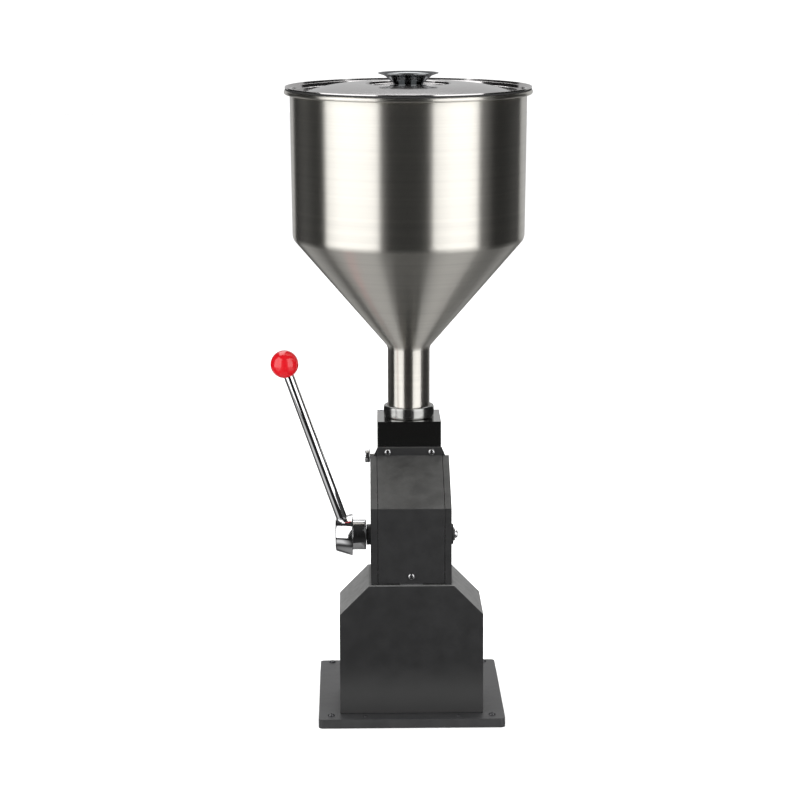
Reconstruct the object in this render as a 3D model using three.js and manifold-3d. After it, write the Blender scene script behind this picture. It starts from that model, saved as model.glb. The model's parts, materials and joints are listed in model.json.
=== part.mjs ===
// Manual bottle filler with a hopper, a piston pump and a hand lever.
// Millimetres. Z is up, Y points to the nozzle side, X lies along the lever shaft.
// The origin is on the underside of the base plate, on the axis of the hopper.

import * as THREE from 'three';
import { mergeVertices } from 'three/addons/utils/BufferGeometryUtils.js';
import Module from 'manifold-3d';

const wasm = await Module();
wasm.setup();

// General clearances
const CUT_OVERRUN = 3;
const WELD_DISTANCE = 1e-4;
const SEAT_GAP = 0.3;
const RUN_GAP = 0.12;
const FINE_SIDES = 48;
const ROUND_SIDES = 24;
const SMALL_SIDES = 12;
const COIL_STEPS = 8;

// Base plate
const PLATE_WIDTH = 200;
const PLATE_DEPTH = 221.4;
const PLATE_FRONT = 79.4;
const PLATE_THICK = 9.9;
const PLATE_CORNER_RADIUS = 5;
const PLATE_SCREW_SIDE_INSET = 13.5;
const PLATE_SCREW_REAR_INSET = 14.5;
const PLATE_SCREW_FRONT_INSET = 8;

// Lower box, a folded case with chamfered shoulders
const BOX_WIDTH = 154;
const BOX_DEPTH = 93.6;
const BOX_REAR = -121.9;
const BOX_HEIGHT = 142.1;
const BOX_CHAMFER_HEIGHT = 31.7;
const BOX_TOP_WIDTH = 91.3;
const BOX_WALL = 2;
const BOX_FOOT_SCREW_X = 50;

// Column, a folded channel that is open to the rear
const COLUMN_WIDTH = 86;
const COLUMN_REAR = -118.6;
const COLUMN_SHEET = 2;
const COLUMN_FLANGE = 7;
const COLUMN_SHOULDER_HEIGHT = 83.4;
const COLUMN_CREST_HEIGHT = 123.8;
const CROWN_HEIGHT = 9.2;
const CROWN_FOOT_WIDTH = 78;
const CROWN_TOP_WIDTH = 70;
const COLUMN_FOOT_FLANGE = 13;

// Rear cover
const COVER_SHEET = 1.5;
const COVER_SIDE_GAP = 0.4;
const COVER_FOOT_GAP = 1;
const COVER_SCREW_HEIGHT = 9.3;
const COVER_TOP_SCREW_SPACING = 47.8;
const COVER_TOP_SCREW_DROP = 5.1;
const COVER_BRACKET_WIDTH = 24;
const COVER_BRACKET_HEIGHT = 18;
const COVER_BRACKET_FOOT = 16;

// Valve block under the hopper
const BLOCK_WIDTH = 69;
const BLOCK_DEPTH = 69;
const BLOCK_RISE = 161;
const BLOCK_HEIGHT = 117;
const BLOCK_SPIGOT_RADIUS = 25;
const BLOCK_SPIGOT_HEIGHT = 6.5;
const PORT_RADIUS = 15;
const PORT_SHOULDER_DEPTH = 50;
const CHAMBER_RADIUS = 12;
const OUTLET_Y = 12;
const OUTLET_RADIUS = 6;
const OUTLET_SPIGOT_RADIUS = 14;
const OUTLET_SPIGOT_LENGTH = 10;
const PLUG_SCREW_INSET = 5;

// Pump cylinder and piston
const BORE_RADIUS = 22.5;
const SLEEVE_WALL = 3.5;
const SLEEVE_LENGTH = 72.3;
const PUMP_AXIS_DROP = 87;
const SLEEVE_REAR_REACH = 15.5;
const SLEEVE_FLANGE_RADIUS = 33;
const SLEEVE_FLANGE_THICK = 3;
const SLEEVE_SCREW_CIRCLE = 29.5;
const SLEEVE_SCREW_COUNT = 3;
const INLET_WINDOW_WIDTH = 12;
const INLET_WINDOW_LENGTH = 14;
const INLET_WINDOW_FRONT_GAP = 3;
const PISTON_LENGTH = 18;
const PISTON_CLEARANCE = 0.4;
const PISTON_REST_INSET = 3;
const SEAL_GROOVE_WIDTH = 4;
const SEAL_GROOVE_DEPTH = 3;
const SEAL_COUNT = 2;
const SEAL_CLEARANCE = 0.15;
const PISTON_RECESS_RADIUS = 9;
const PISTON_RECESS_DEPTH = 7;

// Rack and pinion
const GEAR_MODULE = 2;
const PINION_TEETH = 20;
const PRESSURE_ANGLE = THREE.MathUtils.degToRad(20);
const TOOTH_BACKLASH = 0.4;
const DEDENDUM_RATIO = 1.25;
const PINION_WIDTH = 12;
const RACK_WIDTH = 14;
const RACK_BAR_HEIGHT = 12.8;
const RACK_TOOTH_COUNT = 9;
const RACK_REAR_REACH = 38;
const RACK_SPIGOT_RADIUS = 5;
const RACK_SPIGOT_LENGTH = 16;
const GUIDE_LENGTH = 14;
const GUIDE_TOP_THICK = 9;
const GUIDE_CHEEK_WIDTH = 5;
const GUIDE_CHEEK_DROP = 9;

// Lever shaft
const SHAFT_Y = -75;
const SHAFT_RISE = 45.1;
const SHAFT_RADIUS = 6;
const SHAFT_RIGHT_PROUD = 2.9;
const BUSH_FLANGE_RADIUS = 11.2;
const BUSH_FLANGE_LEFT = 4.5;
const BUSH_FLANGE_RIGHT = 3.3;
const BUSH_WALL = 2.3;
const BUSH_INNER_REACH = 3;
const KEY_WIDTH = 4;
const KEY_HEIGHT = 4.4;
const KEY_LENGTH = 10;
const KEY_SHAFT_DEPTH = 2.4;

// Lever hub, rod and ball
const HUB_CONE_LENGTH = 18.8;
const HUB_CONE_OUTER_RADIUS = 17.4;
const HUB_CONE_INNER_RADIUS = 23.1;
const HUB_BARREL_LENGTH = 14.6;
const HUB_BARREL_RADIUS = 16.4;
const HUB_BUSH_GAP = 0.3;
const HUB_END_CAP = 4;
const ROD_LEAN = THREE.MathUtils.degToRad(19.56);
const ROD_ROOT_X = -67.7;
const ROD_FOOT_RADIUS = 6;
const ROD_HEAD_RADIUS = 5.6;
const ROD_SOCKET_START = 12;
const ROD_TENON_RADIUS = 4;
const ROD_SHOULDER_START = 20.3;
const BALL_CENTRE_REACH = 199;
const BALL_RADIUS = 15;
const BALL_FLAT_DEPTH = 1.2;
const BALL_BORE_RADIUS = 3.6;
const BALL_BORE_DEPTH = 17;
const SET_SCREW_RADIUS = 3;
const SET_SCREW_LENGTH = 8;

// End screw and washer on the right side
const END_WASHER_RADIUS = 7.3;
const END_WASHER_THICK = 1.6;
const END_SCREW_RADIUS = 2.5;
const END_SCREW_LENGTH = 14;
const END_SCREW_HEAD_RADIUS = 4.6;
const END_SCREW_HEAD_HEIGHT = 3.1;

// Dose stop on the nozzle side
const STOP_ARM_X = 14;
const STOP_ARM_THICK = 8;
const STOP_ARM_RING_RADIUS = 12;
const STOP_ARM_WIDTH = 10;
const STOP_ARM_LENGTH = 29;
const DOSE_SCREW_DROP = 24;
const DOSE_SCREW_RADIUS = 3;
const DOSE_BUSH_RADIUS = 6;
const DOSE_BUSH_FLANGE_RADIUS = 8;
const DOSE_BUSH_FLANGE_THICK = 2;
const DOSE_BUSH_LENGTH = 12;
const DOSE_NUT_FLATS = 10;
const DOSE_NUT_THICK = 4;
const DOSE_KNOB_RADIUS = 9;
const DOSE_KNOB_LENGTH = 12;
const DOSE_KNOB_GAP = 1.5;
const DOSE_KNOB_FLUTES = 12;
const DOSE_KNOB_FLUTE_RADIUS = 1.2;

// Hopper and its union nut
const HOPPER_TOP_RADIUS = 127.8;
const HOPPER_TAPER = 1.8;
const HOPPER_SHEET = 1.6;
const HOPPER_KNUCKLE_RADIUS = 5;
const NECK_RADIUS = 23.1;
const NECK_WALL = 1.8;
const NECK_RISE = 78;
const CONE_HEIGHT = 119.8;
const CYLINDER_HEIGHT = 160.6;
const RIM_ROLL_WIDTH = 6.2;
const RIM_ROLL_HEIGHT = 5.2;
const RIM_SEAT_WIDTH = 5.4;
const FERRULE_RADIUS = 24.9;
const FERRULE_THICK = 2.5;
const GASKET_THICK = 1.5;
const NUT_RADIUS = 27.6;
const NUT_HEIGHT = 13;
const NUT_ROUNDING = 2;
const NUT_NOTCH_COUNT = 6;
const NUT_NOTCH_WIDTH = 9.8;
const NUT_NOTCH_HEIGHT = 7;
const NUT_NOTCH_DEPTH = 1.4;
const NUT_NOTCH_DROP = 3.4;

// Lid
const LID_EDGE_INSET = 1;
const LID_SHEET = 1;
const LID_EDGE_HEIGHT = 1.6;
const LID_EDGE_GAP = 0.7;
const LID_FLANGE_INSET = 7.2;
const LID_GUTTER_WALL_RUN = 0.5;
const LID_GUTTER_DEPTH = 4.9;
const LID_GUTTER_WIDTH = 13;
const LID_DOME_RISE = 8.8;
const LID_DOME_SHARES = [[0, 0], [0.22, 0.48], [0.6, 0.87], [1, 1]];
const LID_CREST_RADIUS = 46;
const LID_RECESS_RADIUS = 38;
const LID_RECESS_DEPTH = 3;
const LID_GASKET_INSET = 1.55;
const LID_GASKET_WIDTH = 4.6;
const LID_SCREW_HOLE_RADIUS = 3.3;
const KNOB_BASE_RADIUS = 20;
const KNOB_BASE_THICK = 1.2;
const KNOB_WAIST_RADIUS = 15.3;
const KNOB_BOWL_RADIUS = 25.9;
const KNOB_LIP_HEIGHT = 2.2;
const KNOB_RIM_RADIUS = 32.6;
const KNOB_HEIGHT = 14.2;
const KNOB_RIM_THICK = 1.4;
const KNOB_DISH_DEPTH = 5;
const KNOB_DISH_RADIUS = 12;
const KNOB_TAP_RADIUS = 2.8;
const KNOB_TAP_DEPTH = 7;
const KNOB_SCREW_RADIUS = 2.5;
const KNOB_SCREW_HEAD_RADIUS = 5;
const KNOB_SCREW_HEAD_HEIGHT = 3;
const KNOB_SCREW_GRIP = 5.5;

// Inlet valve
const SEAT_CLEARANCE = 0.3;
const SEAT_HEIGHT = 10;
const SEAT_HOLE_RADIUS = 8;
const SEAT_HUB_RADIUS = 4;
const SEAT_HUB_HEIGHT = 4;
const SEAT_SPOKE_WIDTH = 2;
const SEAT_SPOKE_COUNT = 3;
const INLET_HEAD_RADIUS = 10;
const INLET_HEAD_THICK = 3.2;
const INLET_STEM_RADIUS = 2.2;
const INLET_SPRING_LENGTH = 13;
const INLET_SPRING_RADIUS = 3.8;
const INLET_SPRING_WIRE = 0.5;
const INLET_SPRING_TURNS = 5;
const RETAINER_RADIUS = 5.6;
const RETAINER_THICK = 3;

// Thumb screw that holds the inlet seat
const THUMB_SCREW_DROP = 45;
const THUMB_SHANK_RADIUS = 2.4;
const THUMB_HEAD_RADIUS = 7.6;
const THUMB_HEAD_LENGTH = 5.6;
const THUMB_HEAD_PROUD = 8.4;
const THUMB_WAIST_RADIUS = 3;
const THUMB_COLLAR_RADIUS = 5;
const THUMB_COLLAR_LENGTH = 3;

// Nozzle and outlet valve
const OUTLET_GASKET_THICK = 1.2;
const NOZZLE_FLANGE_THICK = 3.5;
const NOZZLE_FLANGE_CLEARANCE = 0.3;
const NOZZLE_BODY_RADIUS = 11.5;
const NOZZLE_BODY_LENGTH = 23;
const NOZZLE_TAPER_LENGTH = 9;
const NOZZLE_TIP_RADIUS = 7;
const NOZZLE_TIP_LENGTH = 4;
const NOZZLE_CHAMBER_RADIUS = 9.5;
const NOZZLE_CHAMBER_LENGTH = 23;
const NOZZLE_BORE_RADIUS = 5;
const NOZZLE_NUT_RADIUS = 18;
const NOZZLE_NUT_OVERLAP = 8;
const NOZZLE_NUT_LIP = 3;
const NOZZLE_NUT_GRIPS = 12;
const NOZZLE_NUT_GRIP_RADIUS = 1.6;
const OUTLET_HEAD_RADIUS = 8;
const OUTLET_HEAD_THICK = 4;
const OUTLET_STEM_RADIUS = 3;
const OUTLET_STEM_LENGTH = 8;
const OUTLET_SPRING_RADIUS = 5.6;
const OUTLET_SPRING_WIRE = 0.7;
const OUTLET_SPRING_TURNS = 5;

// Screws
const COVER_SCREW = { shank: 2, head: 3.8, height: 2.6, recess: 1.9, depth: 1.2 };
const PLATE_SCREW = { shank: 2.5, head: 3.7, height: 2 };
const FOOT_SCREW = { shank: 1.5, head: 2.2, height: 1.2 };
const COLUMN_SCREW = { shank: 2, head: 3.6, height: 2.4 };
const SLEEVE_SCREW = { shank: 1.5, head: 2.8, height: 2.6 };
const SCREW_BITE = 8;
const PISTON_NUT_FLATS = 13;
const PISTON_NUT_THICK = 4.5;

// Levels and faces worked out from the sizes above
const plateRear = PLATE_FRONT - PLATE_DEPTH;
const boxFront = BOX_REAR + BOX_DEPTH;
const boxTop = PLATE_THICK + BOX_HEIGHT;
const blockTop = boxTop + BLOCK_RISE;
const shaftZ = boxTop + SHAFT_RISE;
const neckTop = blockTop + NECK_RISE;
const coneTop = neckTop + CONE_HEIGHT;
const hopperTop = coneTop + CYLINDER_HEIGHT;
const hopperBottomRadius = HOPPER_TOP_RADIUS - HOPPER_TAPER;
const hopperRimRadius = HOPPER_TOP_RADIUS + RIM_ROLL_WIDTH;
const lidRadius = hopperRimRadius - LID_EDGE_INSET;
const columnShoulder = boxTop + COLUMN_SHOULDER_HEIGHT;
const columnCrest = boxTop + COLUMN_CREST_HEIGHT;
const columnTop = columnCrest + CROWN_HEIGHT;
const blockRear = -BLOCK_DEPTH / 2;
const blockFront = BLOCK_DEPTH / 2;
const blockBottom = blockTop - BLOCK_HEIGHT;
const wallFront = blockRear;
const wallRear = wallFront - COLUMN_SHEET;
const spigotTop = blockTop + BLOCK_SPIGOT_HEIGHT;
const pumpZ = blockTop - PUMP_AXIS_DROP;
const sleeveRadius = BORE_RADIUS + SLEEVE_WALL;
const sleeveRear = blockRear - SLEEVE_REAR_REACH;
const sleeveFront = sleeveRear + SLEEVE_LENGTH;
const pistonRear = sleeveRear + PISTON_REST_INSET;
const pistonFront = pistonRear + PISTON_LENGTH;
const pitchRadius = GEAR_MODULE * PINION_TEETH / 2;
const pitchZ = shaftZ + pitchRadius;
const rackBottom = pitchZ + GEAR_MODULE * DEDENDUM_RATIO;
const rackTop = rackBottom + RACK_BAR_HEIGHT;
const rackRear = SHAFT_Y - RACK_REAR_REACH;
const halfColumn = COLUMN_WIDTH / 2;
const portFloor = blockTop - PORT_SHOULDER_DEPTH;
const spigotEnd = blockBottom - OUTLET_SPIGOT_LENGTH;

// Turns a geometry into one welded solid, with its faces pointing out
function weld(geometry) {
  const bare = geometry.clone();
  for (const name of Object.keys(bare.attributes)) {
    if (name !== 'position') bare.deleteAttribute(name);
  }
  bare.clearGroups();
  const merged = mergeVertices(bare, WELD_DISTANCE);
  const kept = [];
  const corner = merged.attributes.position;
  let volume = 0;
  const [a, b, c] = [new THREE.Vector3(), new THREE.Vector3(), new THREE.Vector3()];
  for (let i = 0; i < merged.index.count; i += 3) {
    const ids = [merged.index.getX(i), merged.index.getX(i + 1), merged.index.getX(i + 2)];
    if (new Set(ids).size < 3) continue;
    kept.push(...ids);
    a.fromBufferAttribute(corner, ids[0]);
    b.fromBufferAttribute(corner, ids[1]);
    c.fromBufferAttribute(corner, ids[2]);
    volume += a.dot(b.cross(c));
  }
  if (volume < 0) kept.reverse();
  merged.setIndex(kept);
  return merged;
}

function toSolid(geometry) {
  const welded = weld(geometry);
  return new wasm.Manifold(new wasm.Mesh({
    numProp: 3,
    vertProperties: new Float32Array(welded.attributes.position.array),
    triVerts: new Uint32Array(welded.index.array),
  }));
}

function toGeometry(solid) {
  const mesh = solid.getMesh();
  const geometry = new THREE.BufferGeometry();
  geometry.setAttribute('position', new THREE.BufferAttribute(mesh.vertProperties, mesh.numProp));
  geometry.setIndex([...mesh.triVerts]);
  return geometry;
}

function cut(geometry, ...tools) {
  return toGeometry(tools.reduce((solid, tool) => solid.subtract(toSolid(tool)), toSolid(geometry)));
}

function join(geometry, ...others) {
  return toGeometry(others.reduce((solid, other) => solid.add(toSolid(other)), toSolid(geometry)));
}

// A turned form on the Z axis, from points of radius and height
function turned(points, sides = ROUND_SIDES) {
  const profile = points.map(([radius, height]) => new THREE.Vector2(radius, height));
  return new THREE.LatheGeometry(profile, sides).rotateX(Math.PI / 2);
}

function ring(inner, outer, low, high, sides = ROUND_SIDES) {
  return turned([[inner, low], [outer, low], [outer, high], [inner, high], [inner, low]], sides);
}

function alongX(geometry, y, z) {
  return geometry.rotateY(Math.PI / 2).translate(0, y, z);
}

function alongY(geometry, x, z) {
  return geometry.rotateX(-Math.PI / 2).translate(x, 0, z);
}

function disc(radius, low, high, sides = ROUND_SIDES) {
  return turned([[0, low], [radius, low], [radius, high], [0, high]], sides);
}

// Clearance hole for a round part
function screwHole(radius, low, high) {
  return disc(radius + SEAT_GAP, low, high, SMALL_SIDES);
}

function box(lowX, highX, lowY, highY, lowZ, highZ) {
  const geometry = new THREE.BoxGeometry(highX - lowX, highY - lowY, highZ - lowZ);
  return geometry.translate((lowX + highX) / 2, (lowY + highY) / 2, (lowZ + highZ) / 2);
}

function outline(points) {
  return new THREE.Shape(points.map(([across, up]) => new THREE.Vector2(across, up)));
}

// An outline of Y and Z, carried across from lowX to highX
function acrossX(points, lowX, highX) {
  const geometry = new THREE.ExtrudeGeometry(outline(points), { depth: highX - lowX, bevelEnabled: false });
  const right = new THREE.Vector3(0, 1, 0);
  const up = new THREE.Vector3(0, 0, 1);
  const out = new THREE.Vector3(1, 0, 0);
  geometry.applyMatrix4(new THREE.Matrix4().makeBasis(right, up, out));
  return geometry.translate(lowX, 0, 0);
}

// An outline of X and Z, carried along from lowY to highY
function acrossY(points, lowY, highY) {
  const geometry = new THREE.ExtrudeGeometry(outline(points), { depth: highY - lowY, bevelEnabled: false });
  return geometry.rotateX(Math.PI / 2).translate(0, highY, 0);
}

function hexagon(flats, low, high) {
  const radius = flats / Math.sqrt(3);
  return disc(radius, low, high, 6);
}

function rectangle(width, depth, radius) {
  const shape = new THREE.Shape();
  const [x, y] = [width / 2 - radius, depth / 2 - radius];
  shape.absarc(x, y, radius, 0, Math.PI / 2);
  shape.absarc(-x, y, radius, Math.PI / 2, Math.PI);
  shape.absarc(-x, -y, radius, Math.PI, Math.PI * 3 / 2);
  shape.absarc(x, -y, radius, Math.PI * 3 / 2, Math.PI * 2);
  return shape;
}

class Helix extends THREE.Curve {
  constructor(radius, length, turns) {
    super();
    Object.assign(this, { radius, length, turns });
  }

  getPoint(t, target = new THREE.Vector3()) {
    const angle = t * this.turns * Math.PI * 2;
    return target.set(Math.cos(angle) * this.radius, Math.sin(angle) * this.radius, t * this.length);
  }
}

function coil(radius, wire, length, turns) {
  const section = new THREE.Shape();
  section.absarc(0, 0, wire, 0, Math.PI * 2);
  const path = new Helix(radius, length - wire * 2, turns);
  const steps = turns * COIL_STEPS;
  const options = { steps, curveSegments: 2, extrudePath: path, bevelEnabled: false };
  return new THREE.ExtrudeGeometry(section, options).translate(0, 0, wire);
}

// A pan head screw that points down the Z axis, with its head on the level zero
function panScrew({ shank, head, height }, length) {
  return turned([
    [0, -length],
    [shank, -length],
    [shank, 0],
    [head, 0],
    [head, height * 0.45],
    [head * 0.62, height],
    [0, height],
  ], SMALL_SIDES);
}

// The same screw with a cross recess in its head
function crossScrew(size, length) {
  const { recess, depth, height } = size;
  const slot = recess * 0.3;
  const floor = height - depth;
  const first = box(-recess, recess, -slot, slot, floor, height + CUT_OVERRUN);
  const second = box(-slot, slot, -recess, recess, floor, height + CUT_OVERRUN);
  return cut(panScrew(size, length), join(first, second));
}

const finishes = {
  powder: { color: 0x3a3b3c, roughness: 0.5, metalness: 0.1 },
  plate: { color: 0x4a4b4d, roughness: 0.5, metalness: 0.1 },
  steel: { color: 0xb9b7ae, roughness: 0.32, metalness: 1 },
  polished: { color: 0xd2d2d0, roughness: 0.12, metalness: 1 },
  chrome: { color: 0xe4e6e8, roughness: 0.05, metalness: 1 },
  zinc: { color: 0xb8bcc0, roughness: 0.35, metalness: 1 },
  black: { color: 0x151617, roughness: 0.55, metalness: 0 },
  rubber: { color: 0x101010, roughness: 0.8, metalness: 0 },
  red: { color: 0xb3160f, roughness: 0.12, metalness: 0 },
  bronze: { color: 0xa88246, roughness: 0.4, metalness: 1 },
};

const group = new THREE.Group();

function add(name, geometry, finish) {
  const mesh = new THREE.Mesh(weld(geometry), new THREE.MeshStandardMaterial(finishes[finish]));
  mesh.name = name;
  group.add(mesh);
  return mesh;
}

// Base plate with its four corner screws
function basePlate() {
  const depth = { depth: PLATE_THICK, bevelEnabled: false, curveSegments: 3 };
  const slab = new THREE.ExtrudeGeometry(rectangle(PLATE_WIDTH, PLATE_DEPTH, PLATE_CORNER_RADIUS), depth);
  slab.translate(0, PLATE_FRONT - PLATE_DEPTH / 2, 0);
  const half = PLATE_WIDTH / 2 - PLATE_SCREW_SIDE_INSET;
  const rear = plateRear + PLATE_SCREW_REAR_INSET;
  const front = PLATE_FRONT - PLATE_SCREW_FRONT_INSET;
  const corners = {
    rear_left: [-half, rear],
    rear_right: [half, rear],
    front_left: [-half, front],
    front_right: [half, front],
  };
  const rearStrip = (plateRear + BOX_REAR) / 2;
  const feet = { left: [-BOX_FOOT_SCREW_X, rearStrip], right: [BOX_FOOT_SCREW_X, rearStrip] };
  const tools = [];
  for (const [x, y] of Object.values(corners)) {
    const hole = screwHole(PLATE_SCREW.shank, PLATE_THICK - SCREW_BITE, PLATE_THICK + CUT_OVERRUN);
    tools.push(hole.translate(x, y, 0));
  }
  for (const [x, y] of Object.values(feet)) {
    const hole = screwHole(FOOT_SCREW.shank, PLATE_THICK - SCREW_BITE, PLATE_THICK + CUT_OVERRUN);
    tools.push(hole.translate(x, y, 0));
  }
  add('base_plate', cut(slab, ...tools), 'plate');
  for (const [corner, [x, y]] of Object.entries(corners)) {
    const screw = panScrew(PLATE_SCREW, SCREW_BITE - SEAT_GAP);
    add(`plate_screw_${corner}`, screw.translate(x, y, PLATE_THICK), 'zinc');
  }
  for (const [side, [x, y]] of Object.entries(feet)) {
    const screw = panScrew(FOOT_SCREW, SCREW_BITE - SEAT_GAP);
    add(`box_screw_${side}`, screw.translate(x, y, PLATE_THICK), 'black');
  }
}

const columnScrewX = halfColumn - COLUMN_SHEET - COLUMN_FOOT_FLANGE / 2;
const columnScrewPlaces = [];
for (const side of [-1, 1]) {
  columnScrewPlaces.push([side * columnScrewX, (COLUMN_REAR + wallFront) / 2]);
}

// Folded case that carries the column
function lowerBox() {
  const mitre = Math.tan(Math.atan2(BOX_WIDTH - BOX_TOP_WIDTH, BOX_CHAMFER_HEIGHT * 2) / 2);
  const section = (inset) => {
    const half = BOX_WIDTH / 2 - inset;
    const top = BOX_TOP_WIDTH / 2 - inset * mitre;
    const shoulder = boxTop - BOX_CHAMFER_HEIGHT - inset * mitre;
    const foot = inset > 0 ? PLATE_THICK - CUT_OVERRUN : PLATE_THICK;
    return [
      [-half, foot],
      [half, foot],
      [half, shoulder],
      [top, boxTop - inset],
      [-top, boxTop - inset],
      [-half, shoulder],
    ];
  };
  const outer = acrossY(section(0), BOX_REAR, boxFront);
  const inner = acrossY(section(BOX_WALL), BOX_REAR + BOX_WALL, boxFront - BOX_WALL);
  const holes = columnScrewPlaces.map(([x, y]) => {
    const hole = screwHole(COLUMN_SCREW.shank, boxTop - BOX_WALL - CUT_OVERRUN, boxTop + CUT_OVERRUN);
    return hole.translate(x, y, 0);
  });
  add('lower_box', cut(outer, inner, ...holes), 'powder');
}

// Height of the sloped top of the column over a place along Y
const slopeRun = wallRear - COVER_SHEET - COLUMN_REAR;
const slopeRise = columnCrest - columnShoulder;
const slopeAt = (y) => columnShoulder + (y - COLUMN_REAR) * slopeRise / slopeRun;

// Screws through the tab of the rear cover and the column into the block
const topScrewZ = columnTop - COVER_TOP_SCREW_DROP;
const topScrewX = COVER_TOP_SCREW_SPACING / 2;
const coverScrewZ = boxTop + COVER_SCREW_HEIGHT;

const sleeveScrewPlaces = [];
for (let i = 0; i < SLEEVE_SCREW_COUNT; i += 1) {
  const angle = (i + 0.5) * Math.PI * 2 / SLEEVE_SCREW_COUNT;
  sleeveScrewPlaces.push([
    Math.cos(angle) * SLEEVE_SCREW_CIRCLE,
    pumpZ + Math.sin(angle) * SLEEVE_SCREW_CIRCLE,
  ]);
}
const doseX = STOP_ARM_X + STOP_ARM_THICK / 2;
const doseZ = shaftZ - DOSE_SCREW_DROP;

// Folded channel with side walls, rear flanges, foot flanges and a front wall
function columnHousing() {
  const side = [
    [COLUMN_REAR, boxTop],
    [wallFront, boxTop],
    [wallFront, columnCrest],
    [wallRear - COVER_SHEET, columnCrest],
    [COLUMN_REAR, columnShoulder],
  ];
  const shell = acrossX(side, -halfColumn, halfColumn);
  const inside = halfColumn - COLUMN_SHEET;
  const innerRear = COLUMN_REAR + COLUMN_SHEET;
  const slopeInner = slopeRise * COLUMN_SHEET / slopeRun + COLUMN_SHEET;
  const hollow = acrossX([
    [innerRear, boxTop - CUT_OVERRUN],
    [wallRear, boxTop - CUT_OVERRUN],
    [wallRear, slopeAt(wallRear) - slopeInner],
    [innerRear, slopeAt(innerRear) - slopeInner],
  ], -inside, inside);
  const mouth = acrossX([
    [COLUMN_REAR - CUT_OVERRUN, boxTop - CUT_OVERRUN],
    [wallRear, boxTop - CUT_OVERRUN],
    [wallRear, columnTop + CUT_OVERRUN],
    [COLUMN_REAR - CUT_OVERRUN, columnTop + CUT_OVERRUN],
  ], -halfColumn + COLUMN_FLANGE, halfColumn - COLUMN_FLANGE);
  const [crownFoot, crownTop] = [CROWN_FOOT_WIDTH / 2, CROWN_TOP_WIDTH / 2];
  const sink = COLUMN_SHEET;
  const crown = acrossY([
    [-crownFoot, columnCrest - sink],
    [crownFoot, columnCrest - sink],
    [crownFoot, columnCrest],
    [crownTop, columnTop],
    [-crownTop, columnTop],
    [-crownFoot, columnCrest],
  ], wallRear, wallFront);
  const foot = (sideSign) => {
    const [a, b] = [sideSign * (inside + SEAT_GAP), sideSign * (inside - COLUMN_FOOT_FLANGE)];
    return box(Math.min(a, b), Math.max(a, b), innerRear + BOX_WALL, wallRear, boxTop, boxTop + COLUMN_SHEET);
  };
  const bushHole = disc(SHAFT_RADIUS + BUSH_WALL + SEAT_GAP, -COLUMN_WIDTH, COLUMN_WIDTH);
  const sleeveHole = disc(sleeveRadius + SEAT_GAP, wallRear - CUT_OVERRUN, wallFront + CUT_OVERRUN);
  const doseHole = screwHole(DOSE_BUSH_RADIUS, wallRear - CUT_OVERRUN, wallFront + CUT_OVERRUN);
  const wallHole = (radius, x, z) => {
    const hole = disc(radius + SEAT_GAP, wallRear - CUT_OVERRUN, wallFront + CUT_OVERRUN, SMALL_SIDES);
    return alongY(hole, x, z);
  };
  const footHoles = columnScrewPlaces.map(([x, y]) => {
    const hole = screwHole(COLUMN_SCREW.shank, boxTop - CUT_OVERRUN, boxTop + COLUMN_SHEET + CUT_OVERRUN);
    return hole.translate(x, y, 0);
  });
  const body = join(cut(shell, hollow, mouth), crown, foot(-1), foot(1));
  add('column_housing', cut(
    body,
    alongX(bushHole, SHAFT_Y, shaftZ),
    alongY(sleeveHole, 0, pumpZ),
    alongY(doseHole, doseX, doseZ),
    ...sleeveScrewPlaces.map(([x, z]) => wallHole(SLEEVE_SCREW.shank, x, z)),
    wallHole(COVER_SCREW.shank, -topScrewX, topScrewZ),
    wallHole(COVER_SCREW.shank, topScrewX, topScrewZ),
    ...footHoles,
  ), 'powder');
  columnScrewPlaces.forEach(([x, y]) => {
    const screw = panScrew(COLUMN_SCREW, SCREW_BITE);
    add(`column_screw_${x < 0 ? 'left' : 'right'}`, screw.translate(x, y, boxTop + COLUMN_SHEET), 'zinc');
  });
}

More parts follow.
